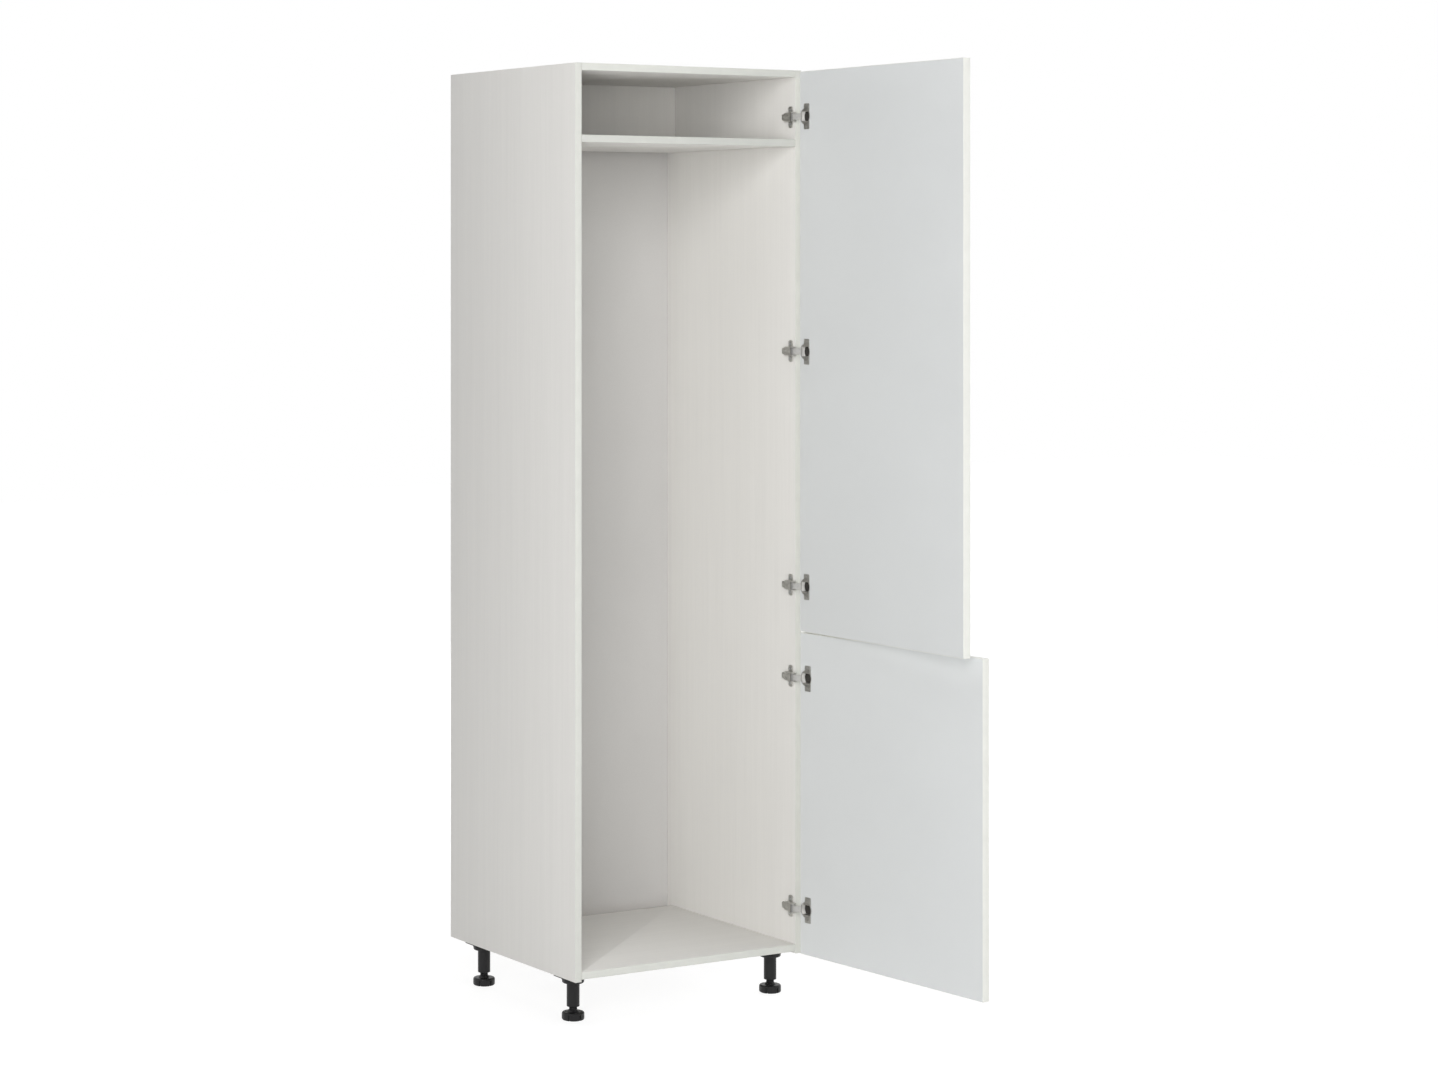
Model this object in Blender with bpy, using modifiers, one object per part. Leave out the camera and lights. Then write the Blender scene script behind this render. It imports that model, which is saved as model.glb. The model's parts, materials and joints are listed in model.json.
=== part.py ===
"""Tall appliance housing cabinet with two doors, five concealed hinges and four levelling legs.

Metres, +Z up. The front faces -Y, the hinges are on the right (+X). The doors stand open, as at
rest: the upper one square to the front, the lower one a little further. The origin is on the
floor, in the middle of the plan of the cabinet with its doors open.
"""

import math

import bmesh
import bpy
from mathutils import Matrix, Vector

# Carcass
CARCASS_WIDTH = 0.600
CARCASS_DEPTH = 0.560
CARCASS_HEIGHT = 2.005
PANEL_THICKNESS = 0.016
INNER_DEPTH = 0.516
COMPARTMENT_HEIGHT = 0.141
BOTTOM_RAISE = 0.005
BACK_THICKNESS = 0.003
BACK_INSET = 0.021
GROOVE_DEPTH = 0.008
EDGE_BAND = 0.001
BAND_ROUNDING = 0.0004

# Doors
DOOR_THICKNESS = 0.018
LOWER_DOOR_HEIGHT = 0.727
DOOR_SIDE_REVEAL = 0.002
DOOR_FRONT_GAP = 0.002
DOOR_END_REVEAL = 0.004
DOOR_SPLIT_GAP = 0.003
UPPER_OPEN_ANGLE = math.radians(90.0)
LOWER_OPEN_ANGLE = math.radians(95.0)
SQUARE_OPEN_ANGLE = math.radians(90.0)
OPEN_PROUD = 0.001
OPEN_STANDOFF = 0.019

# Hinge places
HINGE_END_INSET = 0.102
CUP_EDGE_INSET = 0.021

# Hinge mounting plate and arm
WING_WIDTH = 0.016
WING_LENGTH = 0.049
WING_THICKNESS = 0.0022
WING_CORNER = 0.004
WING_SETBACK = 0.017
WING_SCREW_SPREAD = 0.016
RAIL_WIDTH = 0.011
RAIL_HEIGHT = 0.0107
RAIL_FRONT = 0.002
RAIL_REAR = 0.037
ARM_WIDTH = 0.020
ARM_WALL = 0.0014
ARM_LENGTH = 0.039
ARM_TAIL_WIDTH = 0.014
ARM_TAIL_LENGTH = 0.011
ARM_TOP = 0.0125
ARM_CHAMFER = 0.002
ARM_SKIRT = 0.003
NOSE_TOP = 0.0185
NOSE_LOW = 0.0065
NOSE_FRONT = 0.0125
NOSE_ROUNDING = 0.003
NOSE_RAMP_REAR = 0.008
NOSE_RAMP_FRONT = 0.001
PIN_HEIGHT = 0.0165
PIN_FRONT = 0.0092
PIN_RADIUS = 0.0015

# Hinge link
LINK_LENGTH = 0.0224
LINK_BOW = 0.0015
LINK_ROOT_HALF = 0.0015
LINK_TIP_RADIUS = 0.00085
LINK_EYE_RADIUS = 0.0028
LINK_WIDTH = 0.012
LINK_SIDE_GAP = 0.0004
LINK_OPEN_DIRECTION = math.radians(-50.9)
LINK_TURN_RATIO = -0.52

# Hinge cup
CUP_RADIUS = 0.0172
CUP_WALL = 0.001
CUP_DEPTH = 0.0118
CUP_FLOOR = 0.0008
CUP_RIM_RADIUS = 0.0181
FLANGE_THICKNESS = 0.0012
FLANGE_WIDTH = 0.020
FLANGE_LENGTH = 0.058
FLANGE_CORNER = 0.003
FLANGE_OFFSET = 0.006
CUP_MOUTH_WIDTH = 0.022
CUP_SCREW_SPREAD = 0.0235

# Legs
LEG_HEIGHT = 0.098
LEG_SIDE_INSET = 0.037
LEG_FRONT_INSET = 0.071
LEG_REAR_INSET = 0.048
SOCKET_INNER_REACH = 0.030
SOCKET_LIP_REACH = 0.034
SOCKET_FRONT_REACH = 0.032
SOCKET_REAR_REACH = 0.034
SOCKET_LIP = 0.003
SOCKET_CORNER = 0.009
COLLAR_RADIUS = 0.0245
COLLAR_DEPTH = 0.013
COLLAR_TAPER = 0.002
SOCKET_BORE_DEPTH = 0.015
TUBE_RADIUS = 0.0143
TUBE_LENGTH = 0.0667
TUBE_CEILING = 0.013
STEM_RADIUS = 0.0092
STEM_ENGAGED = 0.043
FOOT_RADIUS = 0.025
FOOT_HEIGHT = 0.018
FOOT_ROUNDING = 0.004
NECK_RADIUS = 0.013
NECK_HEIGHT = 0.005
FOOT_NOTCHES = 6
NOTCH_WIDTH = 0.004
NOTCH_DEPTH = 0.0025
NOTCH_HEIGHT = 0.013
NOTCH_TURN = math.radians(38.0)
LEG_SCREW_REACH_FRONT = 0.0265
LEG_SCREW_REACH_REAR = 0.0285
LEG_SCREW_REACH_SIDE = 0.014
LEG_SCREW_REACH_INNER = 0.024

# Screws
SCREW_SHANK_RADIUS = 0.0019
SCREW_BITE = 0.011
SCREW_HEAD_RADIUS = 0.0038
SCREW_HEAD_HEIGHT = 0.0016
SCREW_HEAD_CROWN = 0.0006
SCREW_SINK = 0.0003
ADJUSTER_SHANK_RADIUS = 0.0016
ADJUSTER_HEAD_RADIUS = 0.0034
ADJUSTER_FRONT = 0.012
ADJUSTER_REAR = 0.027

# Clearances
FIT_GAP = 0.0003
GLUE_LINE = 0.0001
OVERRUN = 0.002
MERGE_DISTANCE = 0.000002
SMOOTH_ANGLE = math.radians(35.0)

# Facets round a turned shape
FINE_STEPS = 24
SMALL_STEPS = 8
ARC_STEPS = 3
LINK_STEPS = 6

# Places that follow from the sizes, in the carcass's own frame: x from the left face, y from the
# front edge, z from the floor
CARCASS_FLOOR = LEG_HEIGHT
CARCASS_TOP = CARCASS_FLOOR + CARCASS_HEIGHT
LEFT_INNER = PANEL_THICKNESS
RIGHT_INNER = CARCASS_WIDTH - PANEL_THICKNESS
BOTTOM_UNDERSIDE = CARCASS_FLOOR + BOTTOM_RAISE
TOP_UNDERSIDE = CARCASS_TOP - PANEL_THICKNESS
SHELF_TOP = TOP_UNDERSIDE - COMPARTMENT_HEIGHT
SHELF_UNDERSIDE = SHELF_TOP - PANEL_THICKNESS
UPPER_BACK_REAR = INNER_DEPTH
UPPER_BACK_FRONT = UPPER_BACK_REAR - PANEL_THICKNESS
BACK_REAR = CARCASS_DEPTH - BACK_INSET
BACK_FRONT = BACK_REAR - BACK_THICKNESS
BODY_FRONT = EDGE_BAND + GLUE_LINE

LOWER_DOOR_LOW = CARCASS_FLOOR + DOOR_END_REVEAL
LOWER_DOOR_HIGH = LOWER_DOOR_LOW + LOWER_DOOR_HEIGHT
UPPER_DOOR_LOW = LOWER_DOOR_HIGH + DOOR_SPLIT_GAP
UPPER_DOOR_HIGH = CARCASS_TOP - DOOR_END_REVEAL
DOOR_LEFT = DOOR_SIDE_REVEAL
DOOR_RIGHT = CARCASS_WIDTH - DOOR_SIDE_REVEAL

UPPER_HINGE_HEIGHTS = (
    UPPER_DOOR_HIGH - HINGE_END_INSET,
    (UPPER_DOOR_HIGH + UPPER_DOOR_LOW) / 2,
    UPPER_DOOR_LOW + HINGE_END_INSET,
)
LOWER_HINGE_HEIGHTS = (
    LOWER_DOOR_HIGH - HINGE_END_INSET,
    LOWER_DOOR_LOW + HINGE_END_INSET,
)


def door_axis():
    """Point that the doors turn about: it carries the inner hinge-side corner of a closed door to
    its place when the door is square to the front."""
    closed = Vector((DOOR_RIGHT, -DOOR_FRONT_GAP))
    opened = Vector((CARCASS_WIDTH + OPEN_PROUD - DOOR_THICKNESS, -OPEN_STANDOFF))
    along = (opened.x + closed.y + closed.x - opened.y) / 2
    across = (opened.x + closed.y - closed.x + opened.y) / 2
    return Vector((along, across))


def new_collection(name):
    collection = bpy.data.collections.new(name)
    bpy.context.scene.collection.children.link(collection)
    return collection


for old_object in list(bpy.data.objects):
    bpy.data.objects.remove(old_object)
PARTS = new_collection("appliance_housing_cabinet")
CUTTERS = new_collection("cutters")


def new_empty(name, location, parent=None, turn=0.0):
    empty = bpy.data.objects.new(name, None)
    PARTS.objects.link(empty)
    empty.location = location
    empty.rotation_euler.z = turn
    empty.parent = parent
    return empty


ORIGIN = new_empty("cabinet_origin", (0, 0, 0))


def principled(name, colour, roughness, metallic=0.0):
    material = bpy.data.materials.new(name)
    material.use_nodes = True
    material.diffuse_color = (*colour, 1)
    shader = material.node_tree.nodes["Principled BSDF"]
    shader.inputs["Base Color"].default_value = (*colour, 1)
    shader.inputs["Roughness"].default_value = roughness
    shader.inputs["Metallic"].default_value = metallic
    return material


def board_material():
    return principled("white_melamine", (0.66, 0.66, 0.64), 0.45)


def back_material():
    return principled("white_hardboard", (0.58, 0.57, 0.55), 0.5)


def band_material():
    return principled("cream_edge_band", (0.80, 0.80, 0.73), 0.4)


def door_material():
    return principled("smooth_white_door", (0.68, 0.69, 0.70), 0.35)


def nickel_material():
    return principled("nickel_plated_steel", (0.52, 0.52, 0.50), 0.32, 1.0)


def screw_material():
    return principled("bright_zinc_screw", (0.62, 0.62, 0.60), 0.3, 1.0)


def black_plastic_material():
    return principled("black_leg_plastic", (0.022, 0.022, 0.022), 0.45)


BOARD = board_material()
BACK = back_material()
BAND = band_material()
DOOR = door_material()
NICKEL = nickel_material()
SCREW_STEEL = screw_material()
BLACK_PLASTIC = black_plastic_material()


def mesh_from_bmesh(name, shape):
    mesh = bpy.data.meshes.new(name)
    shape.to_mesh(mesh)
    shape.free()
    return mesh


def place(name, mesh, material, location, parent=ORIGIN, turn=0.0):
    """A part: its own object, which may share its mesh with another."""
    part = bpy.data.objects.new(name, mesh)
    PARTS.objects.link(part)
    if not mesh.materials:
        mesh.materials.append(material)
    part.location = location
    part.rotation_euler.z = turn
    part.parent = parent
    return part


def box_mesh(name, low, high):
    """A box from its low corner to its high corner, around its own centre."""
    size = Vector(high) - Vector(low)
    shape = bmesh.new()
    bmesh.ops.create_cube(shape, size=1, matrix=Matrix.Diagonal((*size, 1)))
    return mesh_from_bmesh(name, shape)


def centre_of(low, high):
    return (Vector(low) + Vector(high)) / 2


def box_part(name, low, high, material, parent=ORIGIN):
    return place(name, box_mesh(name, low, high), material, centre_of(low, high), parent)


def rounded_box_mesh(name, low, high, axis, radius):
    """A box, placed by its corners, whose edges along one axis are rounded."""
    size = Vector(high) - Vector(low)
    shape = bmesh.new()
    move = Matrix.Translation(centre_of(low, high)) @ Matrix.Diagonal((*size, 1))
    bmesh.ops.create_cube(shape, size=1, matrix=move)
    edges = [e for e in shape.edges if abs(e.verts[0].co[axis] - e.verts[1].co[axis]) > radius]
    bmesh.ops.bevel(shape, geom=edges, offset=radius, segments=ARC_STEPS, affect="EDGES", profile=0.5)
    return mesh_from_bmesh(name, shape)


def smooth_round(mesh):
    mesh.shade_smooth()
    mesh.set_sharp_from_angle(angle=SMOOTH_ANGLE)
    return mesh


def baked_mesh(name, scratch):
    """The evaluated mesh of a scratch object, which is then removed with its cutters."""
    depsgraph = bpy.context.evaluated_depsgraph_get()
    mesh = bpy.data.meshes.new_from_object(scratch.evaluated_get(depsgraph))
    mesh.name = name
    shape = bmesh.new()
    shape.from_mesh(mesh)
    bmesh.ops.remove_doubles(shape, verts=shape.verts, dist=MERGE_DISTANCE)
    shape.to_mesh(mesh)
    shape.free()
    used = [m.object for m in scratch.modifiers if m.type == "BOOLEAN"]
    for leftover in [scratch, *used]:
        bpy.data.objects.remove(leftover)
    return mesh


def turned_mesh(name, profile, steps):
    """A profile of (radius, height) points, top to bottom on its outer side, turned about Z."""
    outline = bpy.data.meshes.new(name)
    points = [(radius, 0, height) for radius, height in profile]
    edges = [(i, i + 1) for i in range(len(points) - 1)]
    outline.from_pydata(points, edges, [])
    scratch = bpy.data.objects.new(name, outline)
    CUTTERS.objects.link(scratch)
    screw = scratch.modifiers.new("turn", "SCREW")
    screw.steps = steps
    screw.render_steps = steps
    screw.use_merge_vertices = True
    screw.merge_threshold = MERGE_DISTANCE
    return smooth_round(baked_mesh(name, scratch))


def extruded_mesh(name, outline, half_height):
    """A closed outline of (x, y) points, extruded both ways along Z."""
    curve = bpy.data.curves.new(name, "CURVE")
    curve.dimensions = "2D"
    curve.fill_mode = "BOTH"
    curve.extrude = half_height
    spline = curve.splines.new("POLY")
    spline.points.add(len(outline) - 1)
    for point, (x, y) in zip(spline.points, outline):
        point.co = (x, y, 0, 1)
    spline.use_cyclic_u = True
    scratch = bpy.data.objects.new(name, curve)
    CUTTERS.objects.link(scratch)
    return baked_mesh(name, scratch)


def arc(centre, radius, start, end, steps=ARC_STEPS):
    angles = [start + (end - start) * i / steps for i in range(steps + 1)]
    return [(centre[0] + radius * math.cos(a), centre[1] + radius * math.sin(a)) for a in angles]


def many_mesh(name, mesh, matrices):
    """Copies of one mesh, each a separate solid, as one mesh."""
    shape = bmesh.new()
    for matrix in matrices:
        copy = mesh.copy()
        copy.transform(matrix)
        shape.from_mesh(copy)
        bpy.data.meshes.remove(copy)
    return smooth_round(mesh_from_bmesh(name, shape))


def cylinder_mesh(name, radius, length, steps, chamfer=0.0):
    """A rod along +Z from its own origin, its ends chamfered."""
    profile = [
        (0, length),
        (radius - chamfer, length),
        (radius, length - chamfer),
        (radius, chamfer),
        (radius - chamfer, 0),
        (0, 0),
    ]
    if not chamfer:
        profile = [(0, length), (radius, length), (radius, 0), (0, 0)]
    return turned_mesh(name, profile, steps)


def add_boolean(part, mesh, operation, location=(0, 0, 0), parent=None):
    tool = bpy.data.objects.new(part.name + "_" + operation.lower(), mesh)
    CUTTERS.objects.link(tool)
    tool.location = location
    tool.parent = parent
    tool.hide_render = True
    tool.display_type = "WIRE"
    modifier = part.modifiers.new(operation.lower(), "BOOLEAN")
    modifier.operation = operation
    modifier.solver = "EXACT"
    modifier.object = tool
    return part


def scratch_part(name, mesh):
    scratch = bpy.data.objects.new(name, mesh)
    CUTTERS.objects.link(scratch)
    return scratch


TO_PLUS_X = Matrix.Rotation(math.pi / 2, 4, "Y")
TO_MINUS_X = Matrix.Rotation(-math.pi / 2, 4, "Y")
TO_PLUS_Y = Matrix.Rotation(-math.pi / 2, 4, "X")
TO_MINUS_Y = Matrix.Rotation(math.pi / 2, 4, "X")
UPSIDE_DOWN = Matrix.Rotation(math.pi, 4, "X")


def at(x, y, z, turn=None):
    move = Matrix.Translation((x, y, z))
    return move @ turn if turn else move


def screw_mesh(name, shank_radius, head_radius, shank_length):
    """A screw along -Z, the underside of its domed head at its own origin."""
    profile = [
        (0, SCREW_HEAD_HEIGHT),
        (head_radius - SCREW_HEAD_CROWN, SCREW_HEAD_HEIGHT),
        (head_radius, SCREW_HEAD_HEIGHT - SCREW_HEAD_CROWN),
        (head_radius, 0),
        (shank_radius, 0),
        (shank_radius, -shank_length),
        (0, -shank_length),
    ]
    return turned_mesh(name, profile, SMALL_STEPS)


def all_hinge_heights():
    return UPPER_HINGE_HEIGHTS + LOWER_HINGE_HEIGHTS


def plate_screw_places():
    """Height of each mounting plate screw."""
    return [
        height + side * WING_SCREW_SPREAD
        for height in all_hinge_heights()
        for side in (1, -1)
    ]


def leg_places():
    """Name, place of the axis and the direction towards the middle of the cabinet, per leg."""
    rear = INNER_DEPTH - LEG_REAR_INSET
    right = CARCASS_WIDTH - LEG_SIDE_INSET
    return [
        ("leg_front_left", LEG_SIDE_INSET, LEG_FRONT_INSET, 1),
        ("leg_front_right", right, LEG_FRONT_INSET, -1),
        ("leg_rear_left", LEG_SIDE_INSET, rear, 1),
        ("leg_rear_right", right, rear, -1),
    ]


def leg_screw_offsets(inward):
    """Places of a socket's screws about the leg's axis."""
    return [
        (across, along)
        for along in (-LEG_SCREW_REACH_FRONT, LEG_SCREW_REACH_REAR)
        for across in (-inward * LEG_SCREW_REACH_SIDE, inward * LEG_SCREW_REACH_INNER)
    ]


def leg_screw_places():
    return [
        (x + across, y + along)
        for _, x, y, inward in leg_places()
        for across, along in leg_screw_offsets(inward)
    ]


def side_panel(name, outer, inner):
    """A full-height side with a groove for the back."""
    low = (min(outer, inner), BODY_FRONT, CARCASS_FLOOR)
    high = (max(outer, inner), CARCASS_DEPTH, CARCASS_TOP)
    panel = box_part(name, low, high, BOARD)
    into = GROOVE_DEPTH if inner > outer else -GROOVE_DEPTH
    past = OVERRUN if inner > outer else -OVERRUN
    groove_x = sorted((inner - into, inner + past))
    groove_low = (groove_x[0], BACK_FRONT - FIT_GAP, CARCASS_FLOOR - OVERRUN)
    groove_high = (groove_x[1], BACK_REAR + FIT_GAP, CARCASS_TOP + OVERRUN)
    groove = box_mesh(name + "_groove", groove_low, groove_high)
    add_boolean(panel, groove, "DIFFERENCE", centre_of(groove_low, groove_high), ORIGIN)
    return panel


def hinge_side_panel():
    panel = side_panel("right_side_panel", CARCASS_WIDTH, RIGHT_INNER)
    hole = cylinder_mesh("plate_hole", SCREW_SHANK_RADIUS + FIT_GAP, SCREW_BITE + OVERRUN, SMALL_STEPS)
    start = RIGHT_INNER - OVERRUN
    matrices = [at(start, WING_SETBACK, z, TO_PLUS_X) for z in plate_screw_places()]
    add_boolean(panel, many_mesh("plate_holes", hole, matrices), "DIFFERENCE", parent=ORIGIN)
    return panel


def side_band(name, low_x, high_x):
    low = (low_x, 0, CARCASS_FLOOR)
    high = (high_x, EDGE_BAND, CARCASS_TOP)
    return rounded_band(name, low, high)


def rounded_band(name, low, high):
    """A strip glued to a front edge, its edges eased."""
    return ease_edges(box_part(name, low, high, BAND))


def ease_edges(band):
    bevel = band.modifiers.new("eased_edges", "BEVEL")
    bevel.width = BAND_ROUNDING
    bevel.segments = 1
    bevel.limit_method = "ANGLE"
    return band


def level_board(name, underside):
    low = (LEFT_INNER + FIT_GAP, BODY_FRONT, underside)
    high = (RIGHT_INNER - FIT_GAP, INNER_DEPTH, underside + PANEL_THICKNESS)
    return box_part(name, low, high, BOARD)


def level_band(name, underside):
    low = (LEFT_INNER + FIT_GAP, 0, underside)
    high = (RIGHT_INNER - FIT_GAP, EDGE_BAND, underside + PANEL_THICKNESS)
    return rounded_band(name, low, high)


def bottom_board():
    board = level_board("bottom_panel", BOTTOM_UNDERSIDE)
    hole = cylinder_mesh("leg_hole", SCREW_SHANK_RADIUS + FIT_GAP, SCREW_BITE + OVERRUN, SMALL_STEPS)
    start = BOTTOM_UNDERSIDE - OVERRUN
    matrices = [at(x, y, start) for x, y in leg_screw_places()]
    add_boolean(board, many_mesh("leg_holes", hole, matrices), "DIFFERENCE", parent=ORIGIN)
    return board


def upper_back():
    """The thick back of the small compartment, with an air duct behind it."""
    low = (LEFT_INNER + FIT_GAP, UPPER_BACK_FRONT, SHELF_TOP + FIT_GAP)
    high = (RIGHT_INNER - FIT_GAP, UPPER_BACK_REAR, TOP_UNDERSIDE - FIT_GAP)
    return box_part("upper_back_panel", low, high, BOARD)


def thin_back():
    """The full-height back, held in the grooves of the two sides."""
    reach = GROOVE_DEPTH - FIT_GAP
    low = (LEFT_INNER - reach, BACK_FRONT, CARCASS_FLOOR + FIT_GAP)
    high = (RIGHT_INNER + reach, BACK_REAR, CARCASS_TOP - FIT_GAP)
    return box_part("back_panel", low, high, BACK)


def build_carcass():
    side_panel("left_side_panel", 0, LEFT_INNER)
    hinge_side_panel()
    level_board("top_panel", TOP_UNDERSIDE)
    level_board("fixed_shelf", SHELF_UNDERSIDE)
    bottom_board()
    upper_back()
    thin_back()
    side_band("left_side_edge_band", 0, LEFT_INNER)
    side_band("right_side_edge_band", RIGHT_INNER, CARCASS_WIDTH)
    level_band("top_edge_band", TOP_UNDERSIDE)
    level_band("shelf_edge_band", SHELF_UNDERSIDE)
    level_band("bottom_edge_band", BOTTOM_UNDERSIDE)


def door_slab(name, low_z, high_z, hinge_heights, pivot):
    """A flat door in its closed place about its pivot, with blind holes for cups and screws."""
    axis = door_axis()
    skin = EDGE_BAND + GLUE_LINE
    low = (DOOR_LEFT - axis.x, -DOOR_FRONT_GAP - DOOR_THICKNESS - axis.y, low_z)
    high = (DOOR_RIGHT - axis.x, -DOOR_FRONT_GAP - axis.y, high_z)
    body_low = (low[0] + skin, low[1], low[2] + skin)
    body_high = (high[0] - skin, high[1], high[2] - skin)
    door = box_part(name, body_low, body_high, DOOR, pivot)
    add_boolean(door, cup_holes_mesh(name, hinge_heights), "DIFFERENCE", parent=pivot)
    door_bands(name + "_edge_bands", low, high, pivot)
    return door


def door_bands(name, low, high, pivot):
    """The band glued all round a door's edges."""
    bands = ease_edges(box_part(name, low, high, BAND, pivot))
    opening_low = (low[0] + EDGE_BAND, low[1] - OVERRUN, low[2] + EDGE_BAND)
    opening_high = (high[0] - EDGE_BAND, high[1] + OVERRUN, high[2] - EDGE_BAND)
    opening = box_mesh(name + "_opening", opening_low, opening_high)
    return add_boolean(bands, opening, "DIFFERENCE", centre_of(opening_low, opening_high), pivot)


def cup_place(height):
    """Centre of a cup on the inner face of a closed door, about the door's axis."""
    axis = door_axis()
    return Vector((DOOR_RIGHT - CUP_EDGE_INSET - axis.x, -DOOR_FRONT_GAP - axis.y, height))


def cup_screw_places(hinge_heights):
    places = []
    for height in hinge_heights:
        centre = cup_place(height)
        for side in (1, -1):
            places.append((centre.x - FLANGE_OFFSET, centre.y, height + side * CUP_SCREW_SPREAD))
    return places


def cup_holes_mesh(name, hinge_heights):
    """Blind holes for the cups and for the screws beside them."""
    depth = CUP_DEPTH + FIT_GAP + OVERRUN
    cup_hole = cylinder_mesh(name + "_cup_hole", CUP_RADIUS + FIT_GAP, depth, FINE_STEPS)
    pilot = cylinder_mesh(name + "_pilot", SCREW_SHANK_RADIUS + FIT_GAP, SCREW_BITE + OVERRUN, SMALL_STEPS)
    shape = bmesh.new()
    for height in hinge_heights:
        centre = cup_place(height)
        drilled = cup_hole.copy()
        drilled.transform(at(centre.x, centre.y + OVERRUN, height, TO_MINUS_Y))
        shape.from_mesh(drilled)
    for x, y, z in cup_screw_places(hinge_heights):
        drilled = pilot.copy()
        drilled.transform(at(x, y + OVERRUN, z, TO_MINUS_Y))
        shape.from_mesh(drilled)
    return mesh_from_bmesh(name + "_holes", shape)


def mounting_plate_mesh():
    """Cross-shaped plate: two wings up and down the side panel and a rail for the arm. Its origin
    is on the panel's inner face at the front edge, and the cabinet's inside is towards -X."""
    half = WING_LENGTH / 2
    wings = rounded_box_mesh(
        "plate_wings",
        (-FIT_GAP - WING_THICKNESS, WING_SETBACK - WING_WIDTH / 2, -half),
        (-FIT_GAP, WING_SETBACK + WING_WIDTH / 2, half),
        0,
        WING_CORNER,
    )
    rail = rounded_box_mesh(
        "plate_rail",
        (-RAIL_HEIGHT, RAIL_FRONT, -RAIL_WIDTH / 2),
        (-FIT_GAP, RAIL_REAR, RAIL_WIDTH / 2),
        2,
        WING_THICKNESS / 2,
    )
    plate = scratch_part("plate", wings)
    add_boolean(plate, rail, "UNION")
    hole = cylinder_mesh("wing_hole", SCREW_SHANK_RADIUS + FIT_GAP, RAIL_HEIGHT + 2 * OVERRUN, SMALL_STEPS)
    start = -RAIL_HEIGHT - OVERRUN
    matrices = [at(start, WING_SETBACK, side * WING_SCREW_SPREAD, TO_PLUS_X) for side in (1, -1)]
    matrices += [at(start, y, 0, TO_PLUS_X) for y in (ADJUSTER_FRONT, ADJUSTER_REAR)]
    add_boolean(plate, many_mesh("wing_holes", hole, matrices), "DIFFERENCE")
    return smooth_round(baked_mesh("hinge_plate", plate))


def arm_outline():
    """Side view of the arm: x is minus the height off the panel, y the distance from the front."""
    round_centre = (-NOSE_TOP + NOSE_ROUNDING, -NOSE_FRONT + NOSE_ROUNDING)
    nose = arc(round_centre, NOSE_ROUNDING, math.pi, 1.5 * math.pi)
    return [
        (-ARM_SKIRT, ARM_LENGTH),
        (-ARM_TOP + ARM_CHAMFER, ARM_LENGTH),
        (-ARM_TOP, ARM_LENGTH - ARM_CHAMFER),
        (-ARM_TOP, NOSE_RAMP_REAR),
        (-NOSE_TOP, -NOSE_RAMP_FRONT),
        *nose,
        (-NOSE_LOW, -NOSE_FRONT),
        (-ARM_SKIRT, -NOSE_FRONT + NOSE_LOW - ARM_SKIRT),
    ]


def arm_hollow_outline():
    """What is cut from between the arm's cheeks: all but its web, and the whole of the nose."""
    beyond = NOSE_TOP + OVERRUN
    web_end = -NOSE_RAMP_FRONT
    return [
        (OVERRUN, ARM_LENGTH - ARM_WALL),
        (-ARM_TOP + ARM_WALL, ARM_LENGTH - ARM_WALL),
        (-ARM_TOP + ARM_WALL, NOSE_RAMP_REAR),
        (-NOSE_TOP + ARM_WALL, web_end),
        (-beyond, web_end),
        (-beyond, -NOSE_FRONT - OVERRUN),
        (OVERRUN, -NOSE_FRONT - OVERRUN),
    ]


def arm_mesh():
    """The hinge arm: a channel over the plate's rail, with its two adjusting screws and a pin
    between its two nose cheeks."""
    arm = scratch_part("arm", extruded_mesh("arm_body", arm_outline(), ARM_WIDTH / 2))
    hollow = extruded_mesh("arm_hollow", arm_hollow_outline(), ARM_WIDTH / 2 - ARM_WALL)
    add_boolean(arm, hollow, "DIFFERENCE")
    tail_low = (-NOSE_TOP, ARM_LENGTH - ARM_TAIL_LENGTH, ARM_TAIL_WIDTH / 2)
    tail_high = (OVERRUN, ARM_LENGTH + OVERRUN, ARM_WIDTH / 2 + OVERRUN)
    shape = bmesh.new()
    for side in (1, -1):
        trim = box_mesh("tail_trim", tail_low, tail_high)
        middle = centre_of(tail_low, tail_high)
        trim.transform(Matrix.Translation((middle.x, middle.y, side * middle.z)))
        shape.from_mesh(trim)
    add_boolean(arm, mesh_from_bmesh("tail_trims", shape), "DIFFERENCE")
    seat = ARM_TOP - SCREW_SINK
    adjuster = screw_mesh("adjuster", ADJUSTER_SHANK_RADIUS, ADJUSTER_HEAD_RADIUS, seat - WING_THICKNESS)
    matrices = [at(-seat, y, 0, TO_MINUS_X) for y in (ADJUSTER_FRONT, ADJUSTER_REAR)]
    add_boolean(arm, many_mesh("adjusters", adjuster, matrices), "UNION")
    pin_half = ARM_WIDTH / 2 - ARM_WALL / 2
    pin = cylinder_mesh("arm_pin", PIN_RADIUS, 2 * pin_half, SMALL_STEPS)
    pin.transform(at(-PIN_HEIGHT, -PIN_FRONT, -pin_half))
    add_boolean(arm, pin, "UNION")
    return smooth_round(baked_mesh("hinge_arm", arm))


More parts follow.
